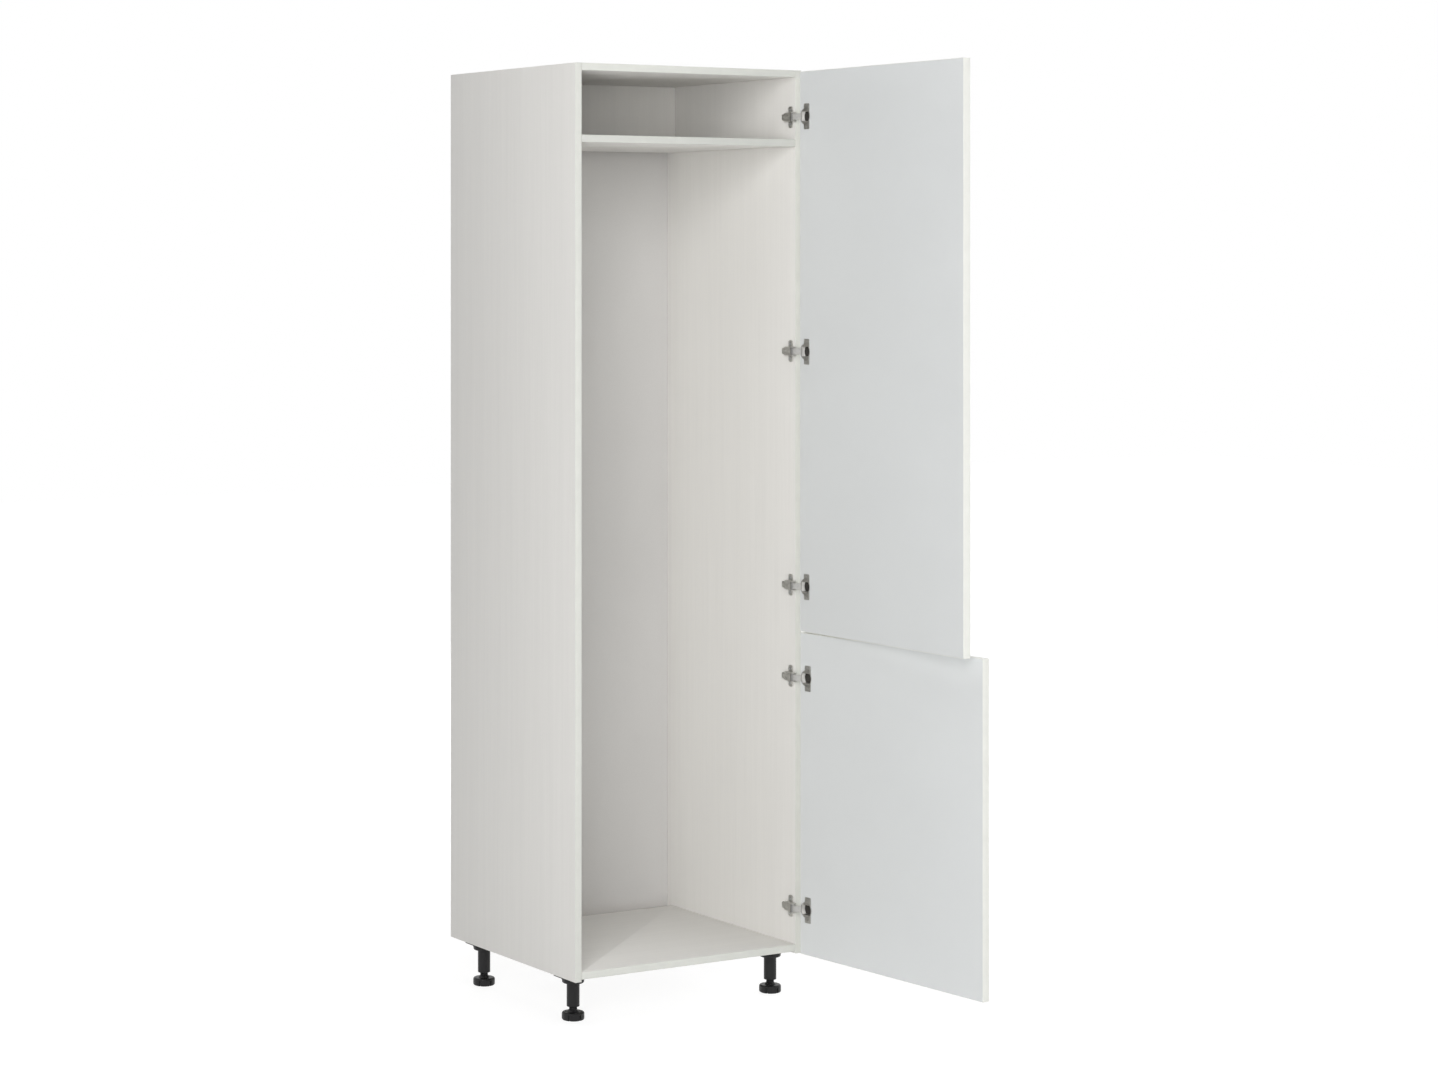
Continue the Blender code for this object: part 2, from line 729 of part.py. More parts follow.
def link_outline():
    """Side view of the link's blade: bowed, and narrowing from the pin to a round tip."""
    upper = []
    lower = []
    for number in range(LINK_STEPS + 1):
        share = number / LINK_STEPS
        centre = Vector((LINK_LENGTH * share, -4 * LINK_BOW * share * (1 - share)))
        slope = -4 * LINK_BOW * (1 - 2 * share) / LINK_LENGTH
        normal = Vector((-slope, 1)).normalized()
        half = LINK_ROOT_HALF + (LINK_TIP_RADIUS - LINK_ROOT_HALF) * share
        upper.append(tuple(centre + normal * half))
        lower.append(tuple(centre - normal * half))
    end_turn = math.atan(4 * LINK_BOW / LINK_LENGTH)
    tip = arc((LINK_LENGTH, 0), LINK_TIP_RADIUS, end_turn - math.pi / 2, end_turn + math.pi / 2)
    return lower[:-1] + tip + upper[-2::-1]


def link_mesh():
    """The link, along +X from the arm's pin at its own origin to its free end."""
    link = scratch_part("link", extruded_mesh("link_blade", link_outline(), LINK_WIDTH / 2))
    half = ARM_WIDTH / 2 - ARM_WALL - LINK_SIDE_GAP
    eye = cylinder_mesh("link_eye", LINK_EYE_RADIUS, 2 * half, FINE_STEPS)
    eye.transform(at(0, 0, -half))
    add_boolean(link, eye, "UNION")
    bore = cylinder_mesh("link_bore", PIN_RADIUS + FIT_GAP, 2 * (half + OVERRUN), SMALL_STEPS)
    bore.transform(at(0, 0, -half - OVERRUN))
    add_boolean(link, bore, "DIFFERENCE")
    return smooth_round(baked_mesh("hinge_link", link))


def cup_mesh():
    """The cup and its flange with two screws. Its origin is at the cup's centre on the door's
    inner face, and +Y points out of the door."""
    body = turned_mesh(
        "cup_body",
        [
            (0, FIT_GAP + FLANGE_THICKNESS),
            (CUP_RIM_RADIUS, FIT_GAP + FLANGE_THICKNESS),
            (CUP_RIM_RADIUS, FIT_GAP),
            (CUP_RADIUS, FIT_GAP),
            (CUP_RADIUS, -CUP_DEPTH),
            (0, -CUP_DEPTH),
        ],
        FINE_STEPS,
    )
    body.transform(TO_PLUS_Y)
    cup = scratch_part("cup", body)
    flange = rounded_box_mesh(
        "cup_flange",
        (-FLANGE_OFFSET - FLANGE_WIDTH / 2, FIT_GAP, -FLANGE_LENGTH / 2),
        (-FLANGE_OFFSET + FLANGE_WIDTH / 2, FIT_GAP + FLANGE_THICKNESS, FLANGE_LENGTH / 2),
        1,
        FLANGE_CORNER,
    )
    add_boolean(cup, flange, "UNION")
    add_boolean(cup, cup_hollow_mesh(), "DIFFERENCE")
    seat = FIT_GAP + FLANGE_THICKNESS - SCREW_SINK
    screw = screw_mesh("cup_screw", SCREW_SHANK_RADIUS, SCREW_HEAD_RADIUS, SCREW_BITE - FIT_GAP + seat)
    matrices = [at(-FLANGE_OFFSET, seat, side * CUP_SCREW_SPREAD, TO_PLUS_Y) for side in (1, -1)]
    add_boolean(cup, many_mesh("cup_screws", screw, matrices), "UNION")
    return smooth_round(baked_mesh("hinge_cup", cup))


def cup_hollow_mesh():
    """The cup's hollow: round, with a flat top and bottom as wide as its mouth."""
    radius = CUP_RADIUS - CUP_WALL
    reach = math.sqrt(radius ** 2 - (CUP_MOUTH_WIDTH / 2) ** 2)
    angle = math.atan2(CUP_MOUTH_WIDTH / 2, reach)
    outline = arc((0, 0), radius, -angle, angle, 2 * ARC_STEPS)
    outline += arc((0, 0), radius, math.pi - angle, math.pi + angle, 2 * ARC_STEPS)
    top = FIT_GAP + FLANGE_THICKNESS + OVERRUN
    floor = -CUP_DEPTH + CUP_FLOOR
    hollow = extruded_mesh("cup_hollow", outline, (top - floor) / 2)
    hollow.transform(at(0, (top + floor) / 2, 0, TO_PLUS_Y))
    return hollow


def link_direction(open_angle):
    return LINK_OPEN_DIRECTION + LINK_TURN_RATIO * (open_angle - SQUARE_OPEN_ANGLE)


def build_hinges(pivots):
    plate = mounting_plate_mesh()
    arm = arm_mesh()
    link = link_mesh()
    cup = cup_mesh()
    pin_x = RIGHT_INNER - PIN_HEIGHT
    angles = [UPPER_OPEN_ANGLE] * len(UPPER_HINGE_HEIGHTS) + [LOWER_OPEN_ANGLE] * len(LOWER_HINGE_HEIGHTS)
    for number, (height, angle) in enumerate(zip(all_hinge_heights(), angles), start=1):
        name = "hinge_" + str(number)
        place(name + "_plate", plate, NICKEL, (RIGHT_INNER, 0, height))
        place(name + "_arm", arm, NICKEL, (RIGHT_INNER, 0, height))
        place(name + "_link", link, NICKEL, (pin_x, -PIN_FRONT, height), turn=link_direction(angle))
        place(name + "_cup", cup, NICKEL, cup_place(height), pivots[height in LOWER_HINGE_HEIGHTS])


def build_plate_screws():
    head_seat = WING_THICKNESS + 2 * FIT_GAP
    reach = SCREW_BITE - FIT_GAP + head_seat
    screw = screw_mesh("plate_screw", SCREW_SHANK_RADIUS, SCREW_HEAD_RADIUS, reach)
    screw.transform(TO_MINUS_X)
    for number, height in enumerate(all_hinge_heights(), start=1):
        for side, word in ((1, "_upper"), (-1, "_lower")):
            name = "hinge_" + str(number) + word + "_screw"
            spot = (RIGHT_INNER - head_seat, WING_SETBACK, height + side * WING_SCREW_SPREAD)
            place(name, screw, SCREW_STEEL, spot)


def build_doors():
    """Both doors, each about an empty on their common axis, which opens it."""
    axis = door_axis()
    upper = new_empty("upper_door_pivot", (axis.x, axis.y, 0), ORIGIN, UPPER_OPEN_ANGLE)
    lower = new_empty("lower_door_pivot", (axis.x, axis.y, 0), ORIGIN, LOWER_OPEN_ANGLE)
    door_slab("upper_door", UPPER_DOOR_LOW, UPPER_DOOR_HIGH, UPPER_HINGE_HEIGHTS, upper)
    door_slab("lower_door", LOWER_DOOR_LOW, LOWER_DOOR_HIGH, LOWER_HINGE_HEIGHTS, lower)
    return (upper, lower)


def socket_mesh(name, inward):
    """The leg's socket: a plate under the bottom board with four screws, a lip that carries the
    side panel and a collar for the tube. Its origin is on the leg's axis at the side panel's
    lower edge."""
    top = BOTTOM_RAISE - FIT_GAP
    low_z = -FIT_GAP - SOCKET_LIP
    reach_x = sorted((-inward * SOCKET_LIP_REACH, inward * SOCKET_INNER_REACH))
    plate = rounded_box_mesh(
        name + "_plate",
        (reach_x[0], -SOCKET_FRONT_REACH, low_z),
        (reach_x[1], SOCKET_REAR_REACH, top),
        2,
        SOCKET_CORNER,
    )
    socket = scratch_part(name, plate)
    panel_face = -inward * (LEG_SIDE_INSET - PANEL_THICKNESS - FIT_GAP)
    beyond = -inward * (SOCKET_LIP_REACH + OVERRUN)
    step_x = sorted((panel_face, beyond))
    step_low = (step_x[0], -SOCKET_FRONT_REACH - OVERRUN, -FIT_GAP)
    step_high = (step_x[1], SOCKET_REAR_REACH + OVERRUN, top + OVERRUN)
    step = box_mesh(name + "_step", step_low, step_high)
    add_boolean(socket, step, "DIFFERENCE", centre_of(step_low, step_high))
    collar_length = COLLAR_DEPTH + SOCKET_LIP / 2
    collar = cylinder_mesh(name + "_collar", COLLAR_RADIUS, collar_length, FINE_STEPS, COLLAR_TAPER)
    collar.transform(at(0, 0, low_z - COLLAR_DEPTH))
    add_boolean(socket, collar, "UNION")
    bore_length = SOCKET_BORE_DEPTH + OVERRUN
    bore = cylinder_mesh(name + "_bore", TUBE_RADIUS + FIT_GAP, bore_length, FINE_STEPS)
    bore.transform(at(0, 0, low_z - COLLAR_DEPTH - OVERRUN))
    add_boolean(socket, bore, "DIFFERENCE")
    seat = low_z + SCREW_SINK
    reach = BOTTOM_RAISE + SCREW_BITE - FIT_GAP - seat
    screw = screw_mesh(name + "_screw", SCREW_SHANK_RADIUS, SCREW_HEAD_RADIUS, reach)
    matrices = [at(x, y, seat, UPSIDE_DOWN) for x, y in leg_screw_offsets(inward)]
    add_boolean(socket, many_mesh(name + "_screws", screw, matrices), "UNION")
    return smooth_round(baked_mesh(name, socket))


def tube_mesh():
    """The leg's tube, its top at its own origin, bored from below for the stem."""
    bore_radius = STEM_RADIUS + FIT_GAP
    profile = [
        (0, 0),
        (TUBE_RADIUS, 0),
        (TUBE_RADIUS, -TUBE_LENGTH),
        (bore_radius, -TUBE_LENGTH),
        (bore_radius, -TUBE_CEILING),
        (0, -TUBE_CEILING),
    ]
    return turned_mesh("leg_tube", profile, FINE_STEPS)


def quarter(radius, height, start, end):
    """A quarter round of the foot's edge, in its profile."""
    return arc((radius - FOOT_ROUNDING, height), FOOT_ROUNDING, start, end)


def foot_mesh(stem_top):
    """The foot, its cone-shaped neck and its stem, turned about the leg's axis, with grip notches
    round its side."""
    profile = [
        (0, stem_top),
        (STEM_RADIUS, stem_top),
        (STEM_RADIUS, FOOT_HEIGHT + NECK_HEIGHT),
        (NECK_RADIUS, FOOT_HEIGHT),
        *quarter(FOOT_RADIUS, FOOT_HEIGHT - FOOT_ROUNDING, math.pi / 2, 0),
        *quarter(FOOT_RADIUS, FOOT_ROUNDING, 0, -math.pi / 2),
        (0, 0),
    ]
    foot = scratch_part("foot", turned_mesh("foot_body", profile, FINE_STEPS))
    low = (FOOT_RADIUS - NOTCH_DEPTH, -NOTCH_WIDTH / 2, -OVERRUN)
    high = (FOOT_RADIUS + OVERRUN, NOTCH_WIDTH / 2, NOTCH_HEIGHT)
    shape = bmesh.new()
    for number in range(FOOT_NOTCHES):
        notch = box_mesh("notch", low, high)
        turn = Matrix.Rotation(NOTCH_TURN + 2 * math.pi * number / FOOT_NOTCHES, 4, "Z")
        notch.transform(turn @ Matrix.Translation(centre_of(low, high)))
        shape.from_mesh(notch)
    add_boolean(foot, mesh_from_bmesh("notches", shape), "DIFFERENCE")
    return smooth_round(baked_mesh("leg_foot", foot))


def build_legs():
    socket_low = CARCASS_FLOOR - FIT_GAP - SOCKET_LIP - COLLAR_DEPTH
    tube_top = socket_low + SOCKET_BORE_DEPTH - FIT_GAP
    tube = tube_mesh()
    foot = foot_mesh(tube_top - TUBE_LENGTH + STEM_ENGAGED)
    sockets = {inward: socket_mesh("leg_socket", inward) for inward in (1, -1)}
    for name, x, y, inward in leg_places():
        place(name + "_socket", sockets[inward], BLACK_PLASTIC, (x, y, CARCASS_FLOOR))
        place(name + "_tube", tube, BLACK_PLASTIC, (x, y, tube_top))
        place(name + "_foot", foot, BLACK_PLASTIC, (x, y, 0))


def centre_plan():
    """Moves the whole cabinet so that the middle of its plan, doors open, is over the origin."""
    depsgraph = bpy.context.evaluated_depsgraph_get()
    corners = []
    for part in PARTS.objects:
        if part.type == "MESH":
            corners += [part.matrix_world @ Vector(c) for c in part.evaluated_get(depsgraph).bound_box]
    for axis in (0, 1):
        values = [corner[axis] for corner in corners]
        ORIGIN.location[axis] = -(min(values) + max(values)) / 2


def main():
    build_carcass()
    pivots = build_doors()
    build_hinges(pivots)
    build_plate_screws()
    build_legs()
    centre_plan()


main()
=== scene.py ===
"""Looks of a tall appliance housing cabinet: white boards, cream edge bands, two open doors, five
concealed hinges and four black levelling legs, in a pale studio. Metres, +Z up, front to -Y."""

import json
import math
from typing import NamedTuple

import bpy
import numpy as np
from bpy.props import FloatProperty, FloatVectorProperty, IntProperty, PointerProperty
from mathutils import Matrix, Vector


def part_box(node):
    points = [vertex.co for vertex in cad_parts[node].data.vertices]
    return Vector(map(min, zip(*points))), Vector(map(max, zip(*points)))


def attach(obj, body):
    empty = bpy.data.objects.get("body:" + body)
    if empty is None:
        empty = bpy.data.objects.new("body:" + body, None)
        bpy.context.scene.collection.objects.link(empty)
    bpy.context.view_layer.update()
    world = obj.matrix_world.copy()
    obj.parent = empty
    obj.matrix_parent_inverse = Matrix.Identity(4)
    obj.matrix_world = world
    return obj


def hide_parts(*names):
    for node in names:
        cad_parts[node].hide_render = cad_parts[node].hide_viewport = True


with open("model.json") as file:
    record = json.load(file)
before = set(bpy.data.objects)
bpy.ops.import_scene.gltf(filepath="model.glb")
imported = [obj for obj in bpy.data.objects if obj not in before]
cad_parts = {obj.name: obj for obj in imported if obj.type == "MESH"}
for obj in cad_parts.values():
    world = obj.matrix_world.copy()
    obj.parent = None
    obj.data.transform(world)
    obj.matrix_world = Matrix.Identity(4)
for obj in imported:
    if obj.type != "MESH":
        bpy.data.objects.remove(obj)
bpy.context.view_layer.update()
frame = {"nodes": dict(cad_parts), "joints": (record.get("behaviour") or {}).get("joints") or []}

bl_info = {
    "name": "Appliance Housing Cabinet Looks",
    "version": (1, 0, 0),
    "blender": (4, 5, 0),
    "location": "3D View > Sidebar > Cabinet",
    "description": "Builds the boards, doors, hinges and legs of a tall appliance housing cabinet",
    "category": "Object",
}

# Photograph
IMAGE_WIDTH = 1438
IMAGE_HEIGHT = 1080
FOCAL_PIXELS = 3228.77
CENTRE_COLUMN = 545.23
HORIZON_ROW = 259.67
SENSOR_WIDTH = 36.0
CAMERA_PLACE = (-3.969512, -5.9864, 1.67314)
CAMERA_TURN = math.radians(-30.67)

# Lamps: name, length of its sides, place, and the point that it looks at
LAMPS = (
    ("key", 3.8, (-4.2, -5.2, 2.6), (0, 0, 1.0)),
    ("low", 2.0, (-4.4, -4.6, 0.9), (0, 0, 0.8)),
    ("front", 2.0, (1.8, -5.4, 1.2), (0, 0, 0.8)),
    ("top", 3.0, (-0.3, -0.2, 5.0), (-0.3, -0.2, 0)),
    ("rear", 3.0, (3.5, 5.0, 2.8), (0, 0, 1.0)),
    ("side", 3.0, (5.5, -0.5, 2.4), (0, 0, 1.0)),
)

# Floor: its colour in other light, its shadows' colour, and its glow from near to far
FLOOR_COLOUR = (0.80, 0.80, 0.79, 1)
SHADOW_COLOUR = (0.22, 0.22, 0.22, 1)
GLOW = (0.88, 1.0)
GLOW_DISTANCES = (0.8, 2.0)
WHITE = (1, 1, 1, 1)

# Boards: the piece that stands for each, and the axis that its faces look along
BOARDS = {
    "left_side_panel": ("left_side_board", 0),
    "right_side_panel": ("right_side_board", 0),
    "top_panel": ("top_panel_board", 2),
    "fixed_shelf": ("fixed_shelf_board", 2),
    "bottom_panel": ("bottom_panel_board", 2),
    "upper_back_panel": ("upper_back_board", 1),
}
LOOKS_ALONG = math.sin(math.radians(30.0))
PANEL_THICKNESS = 0.016
# The boards with a groove for the back, and which way along x they look inwards
GROOVED = {"left_side_panel": 1, "right_side_panel": -1}
GROOVE_DEPTH = 0.008
GROOVE_PLAY = 0.0003

# Bands: the axis that each runs along
BANDS = {
    "left_side_edge_band": 2,
    "right_side_edge_band": 2,
    "top_edge_band": 0,
    "shelf_edge_band": 0,
    "bottom_edge_band": 0,
}

# Doors
DOOR_OPENINGS = {"upper": math.radians(90.0), "lower": math.radians(95.0)}
DOOR_HINGES = {"upper": (1, 2, 3), "lower": (4, 5)}
AXIS_TO_EDGE = 0.001
AXIS_TO_INNER_FACE = 0.016
DOOR_WIDTH = 0.596
DOOR_THICKNESS = 0.018
BAND_THICKNESS = 0.001

# Mounting plate, from the side board's inner face and front edge
SHEET_GAP = 0.0003
WING_MIDDLE = 0.017
WING_HALF_WIDTH = 0.008
WING_HALF_LENGTH = 0.0245
WING_CORNER = 0.005
WAIST_HALF_WIDTH = 0.0066
WAIST_START = 0.0095
WAIST_END = 0.0125
WAIST_CORNER = 0.002
WING_TOP = 0.0025
PAD_RADIUS = 0.0058
PAD_TOP = 0.00275
PLATE_SCREW_SPREAD = 0.016
PLATE_SCREW_SEAT = 0.0028
PLATE_SCREW_TURN = 0.7
PLATE_SCREW_SIDE_TURN = 0.3
RAIL_FRONT = 0.002
RAIL_REAR = 0.037
RAIL_HALF_WIDTH = 0.0055
RAIL_TOP = 0.0107
RAIL_CORNER = 0.0012

# Arm
ARM_REAR = 0.039
ARM_FRONT = -0.001
ARM_WIDE_HALF = 0.010
ARM_NARROW_HALF = 0.007
ARM_SHOULDER = 0.0268
ARM_SHOULDER_RUN = 0.0025
ARM_TOP = 0.0125
ARM_NOSE_TOP = 0.0185
ARM_RAMP_REAR = 0.008
ARM_SKIRT = 0.003
ARM_SHEET = 0.0014
ARM_BEND = 0.0022
ARM_FRONT_BEND = 0.0016
ARM_TAIL_DROP = 0.002
ARM_STATIONS = 46
NOSE_FRONT = -0.0125
NOSE_LOW = 0.0065
NOSE_ROUND = 0.0042
NOSE_CORNER = 0.001
COVER_SHEET = 0.00045
COVER_RADIUS = 0.0034
COVER_HALF_WIDTH = 0.0085
COVER_REAR_TURN = math.radians(35.0)
COVER_FRONT_TURN = math.radians(-80.0)
COVER_STATIONS = 19
RIB_PLACE = 0.0195
RIB_HALF_WIDTH = 0.0009
RIB_HEIGHT = 0.0005
ADJUSTERS = (0.012, 0.027)
ADJUSTER_SEAT = 0.0122
ADJUSTER_HEAD = 0.0034
ADJUSTER_FIRST_TURN = 0.4
SLOT_RADIUS = 0.0039
SLOT_HALF_LENGTHS = (0.0, 0.002)
SLOT_LIP = 0.0009
SLOT_RISE = 0.0005

# Link, from its pin
PIN_HEIGHT = 0.0165
PIN_FRONT = -0.0092
PIN_RADIUS = 0.0015
PIN_SIDES = 32
RIVET_RADIUS = 0.0022
RIVET_RISE = 0.0004
LINK_LENGTH = 0.0224
LINK_BOW = 0.0015
LINK_ROOT_HALF = 0.0015
LINK_TIP_HALF = 0.00085
LINK_TIP_STEPS = 8
LINK_BLADE_START = 0.11
LINK_STATIONS = 14
LINK_EYE_RADIUS = 0.0028
LINK_EYE_GAP = 0.1
LINK_EYE_STEPS = 24
LINK_HALF_WIDTH = 0.0068
LINK_BARREL_HALF = 0.0082
LINK_BARREL_SIDES = 48
LINK_SQUARE_DIRECTION = math.radians(-50.9)
LINK_TURN_RATIO = -0.52

# Cup, from its centre on the door's inner face
CUP_INSET = 0.021
CUP_RADIUS = 0.0172
CUP_MOUTH = 0.0163
CUP_DEPTH = 0.0118
CUP_FLOOR = 0.011
CUP_FILLET = 0.0016
RIM_RADIUS = 0.0181
FLANGE_LOW = 0.0003
FLANGE_TOP = 0.0015
FLANGE_HALF_LENGTH = 0.029
FLANGE_NEAR = 0.004
FLANGE_FAR = 0.016
FLANGE_ROUNDNESS = 14
CUP_SHOULDER = 0.011
CUP_SHOULDER_TOP = 0.0012
CUP_SHOULDER_STEPS = 16
CUP_SCREW_OFFSET = 0.006
CUP_SCREW_SPREAD = 0.0235
CUP_SCREW_TURN = 0.9
CUP_SIDES = 240
CUP_LIP = 0.0001

# Screws
SCREW_HEAD_RADIUS = 0.0038
SCREW_SIDE = 0.0008
SCREW_DOME = 0.0008
SCREW_SHANK = 0.0019
SCREW_LENGTH = 0.011
SCREW_SIDES = 48
SCREW_RINGS = 16
SCREW_LAST_RING = 0.04
CROSS_REACH = 0.62
OUT_OF_PANEL = Matrix.Rotation(-math.pi / 2, 4, "Y")
OUT_OF_DOOR = Matrix.Rotation(-math.pi / 2, 4, "X")
DOWNWARDS = Matrix.Rotation(math.pi, 4, "X")

# Legs, from the leg's axis and the floor
LEGS = ("front_left", "front_right", "rear_left", "rear_right")
LEG_SIDES = 96
SOCKET_CORNER = 0.009
SOCKET_LIP_LOW = 0.0947
SOCKET_LIP_TOP = 0.0977
SOCKET_TOP = 0.1027
SOCKET_STEP = 0.0004
SOCKET_REACH = 0.030
AXIS_TO_OUTER_FACE = 0.037
COLLAR_RADIUS = 0.0245
COLLAR_LOW = 0.0817
COLLAR_TAPER = 0.002
COLLAR_TOP = 0.0955
BORE_RADIUS = 0.0146
GUSSETS = 12
GUSSET_HALF_THICKNESS = 0.0008
GUSSET_REACH = 0.0285
GUSSET_LOW = 0.0865
TUBE_RADIUS = 0.0143
TUBE_BORE = 0.0095
FOOT_RADIUS = 0.025
FOOT_HEIGHT = 0.018
FOOT_ROUND = 0.004
FOOT_NOTCH_TOP = 0.013
FOOT_NOTCH_FADE = 0.0006
FOOT_NOTCH_HALF = 0.0017
FOOT_NOTCH_FLANK = 0.0007
FOOT_SIDES = 288
FOOT_FIRST_NOTCH = math.radians(38.0)
STEM_RADIUS = 0.0092
STEM_STATIONS = 60
STEM_END = 0.001
STEM_END_FLAT = 0.003
THREAD_DEPTH = 0.0009
NECK_RADIUS = 0.013
NECK_HEIGHT = 0.005
NECK_EASE = 0.0006
LEG_SCREWS = ((-0.014, -0.0265), (0.024, -0.0265), (-0.014, 0.0285), (0.024, 0.0285))
LEG_SCREW_SEAT = 0.095

# Edges between faces that meet at less than this are shaded smooth
SMOOTH = math.radians(32.0)


def tint(name, description, default):
    """A colour that a user can change."""
    told = {"name": name, "description": description, "subtype": "COLOR"}
    return FloatVectorProperty(default=default, **told)


def measure(name, description, default):
    """A length that a user can change, in metres."""
    return FloatProperty(name=name, description=description, default=default, unit="LENGTH")


def power(name, lamp, default):
    """A lamp's power that a user can change."""
    description = "Power of " + lamp + ", in watts"
    return FloatProperty(name=name, description=description, default=default, unit="POWER")


class CabinetColours(bpy.types.PropertyGroup):
    """Colours of the cabinet's finishes."""

    melamine: tint("Board", "White melamine on the cabinet's boards", (0.80, 0.788, 0.76))
    core: tint("Board core", "Chipboard seen at the boards' bare edges", (0.50, 0.37, 0.23))
    back: tint("Back", "White lacquer on the thin back's inner face", (0.65, 0.64, 0.628))
    fibre: tint(
        "Back, bare side", "Bare hardboard on the thin back's rear face", (0.36, 0.24, 0.14)
    )
    band: tint("Edge band", "Cream band on the boards' front edges", (0.645, 0.652, 0.613))
    # The same cream band as the others, made darker: painted shade on the fixed shelf's front edge
    shelf_band: tint(
        "Shelf band", "Cream band on the fixed shelf's front edge", (0.57, 0.576, 0.542)
    )
    door_band: tint("Door band", "Cream band round the doors", (0.80, 0.805, 0.762))
    door: tint("Door", "Smooth face of the doors", (0.717, 0.735, 0.738))
    nickel: tint("Nickel", "Nickel plate on the hinges' plates and arms", (0.66, 0.655, 0.625))
    # The same nickel plate as the plates and arms, made darker on the links and cups: painted shade
    dull_nickel: tint(
        "Dull nickel", "Nickel plate on the hinges' links and cups", (0.51, 0.505, 0.485)
    )
    # A dark tone of the hinge metal: painted shade on the sheet bent over each pin, between the
    # arm's cheeks
    pin_cover_shade: tint(
        "Pin cover", "Bare steel of the sheet bent over each hinge's pin", (0.29, 0.288, 0.28)
    )
    zinc: tint("Zinc", "Zinc plate on the screws of the hinges' plates", (0.60, 0.61, 0.62))
    # Near black painted shade on the floor of the hinge cups
    cup_floor_shade: tint("Cup liner", "Dark plastic inside the hinge cups", (0.036, 0.034, 0.031))
    bush: tint(
        "Cup bush",
        "Pale plastic inside the hinge cups, beside the door's edge",
        (0.66, 0.655, 0.63),
    )
    plastic: tint("Leg plastic", "Black plastic of the legs", (0.010, 0.010, 0.0105))


class CabinetSizes(bpy.types.PropertyGroup):
    """Sizes of the small shapes that finish the cabinet's pieces."""

    board_ease: measure("Board edge", "Radius of the boards' edges", 0.0003)
    band_ease: measure("Band edge", "Radius of the edge bands' outer corners", 0.0007)
    metal_ease: measure(
        "Metal edge", "Radius of the pressed metal's and the moulded legs' edges", 0.0003
    )
    recess_width: measure(
        "Recess width", "Width of each arm of the cross in a screw's head", 0.0011
    )
    recess_depth: measure("Recess depth", "Depth of the cross in a screw's head", 0.0011)
    grip_depth: measure("Foot notch", "Depth of the grip notches round a foot", 0.0025)
    grips: IntProperty(
        name="Foot notches", description="How many grip notches a foot has", default=6
    )
    thread_pitch: measure("Thread pitch", "Height of one turn of a foot's thread", 0.0025)


class CabinetStudio(bpy.types.PropertyGroup):
    """Lamps and floor of the studio."""

    ambient: FloatProperty(
        name="Ambient", description="Light that comes from all round", default=0.06
    )
    key: power("Key", "the large lamp beside the camera", 307.0)
    low: power("Low", "the low lamp at the left", 78.0)
    front: power("Front", "the lamp in front, at the right", 38.0)
    top: power("Top", "the large lamp above the cabinet", 58.0)
    rear: power("Rear", "the large lamp behind the cabinet", 145.0)
    side: power("Side", "the large lamp at the right", 120.0)
    floor: measure("Floor", "Length of the floor's sides", 30.0)


def colours():
    """The colours as the user has them."""
    return bpy.context.scene.cabinet_colours


def sizes():
    """The sizes as the user has them."""
    return bpy.context.scene.cabinet_sizes


# Surfaces


class Skin(NamedTuple):
    """A closed surface: its points, its faces' corners in one row and each face's corner count."""

    points: np.ndarray
    corners: np.ndarray
    counts: np.ndarray


def lofted(rings, wrap=False):
    """Skin over rings of points, an array of ring, point and coordinate. Each ring is joined to
    the next by quads. The two ends are flat faces, or the last ring joins the first."""
    rows, columns = rings.shape[:2]
    row = np.arange(rows if wrap else rows - 1)[:, None]
    column = np.arange(columns)[None, :]
    here = row * columns
    ahead = (row + 1) % rows * columns
    aside = (column + 1) % columns
    quads = np.stack([here + column, here + aside, ahead + aside, ahead + column], axis=-1)
    corners = quads.reshape(-1)
    counts = np.full(corners.size // 4, 4)
    if not wrap:
        ring = np.arange(columns)
        corners = np.concatenate([corners, ring[::-1], (rows - 1) * columns + ring])
        counts = np.concatenate([counts, [columns, columns]])
    return Skin(rings.reshape(-1, 3), corners, counts)


def joined(*skins):
    """Several skins as one."""
    starts = np.cumsum([0] + [len(skin.points) for skin in skins])
    return Skin(
        np.concatenate([skin.points for skin in skins]),
        np.concatenate([skin.corners + start for skin, start in zip(skins, starts)]),
        np.concatenate([skin.counts for skin in skins]),
    )


def placed(skin, matrix):
    """A skin turned and moved by a matrix."""
    turn = np.array(matrix)
    return skin._replace(points=skin.points @ turn[:3, :3].T + turn[:3, 3])


def unit(vectors):
    """Directions brought to a length of one."""
    return vectors / np.linalg.norm(vectors, axis=-1, keepdims=True)


def on_circle(angle):
    """The points of a circle of radius one at some angles."""
    return np.stack([np.cos(angle), np.sin(angle)], axis=-1)


def leftwards(ways):
    """Flat directions turned left by a right angle."""
    return np.stack([-ways[:, 1], ways[:, 0]], axis=-1)


def quarter_turn(steps):
    """Sines and cosines at equal steps of a quarter turn."""
    angle = np.linspace(0, math.pi / 2, steps + 1)
    return np.sin(angle), np.cos(angle)


def smooth_step(values, start, end):
    """Nothing before the start and one after the end: three squares less two cubes of the share of
    the way between them."""
    share = np.clip((values - start) / (end - start), 0, 1)
    return share * share * (3 - 2 * share)


def edge_ways(outline):
    """The directions of the edges that come to each point of a closed outline and leave it."""
    coming = unit(outline - np.roll(outline, 1, axis=0))
    going = unit(np.roll(outline, -1, axis=0) - outline)
    return coming, going


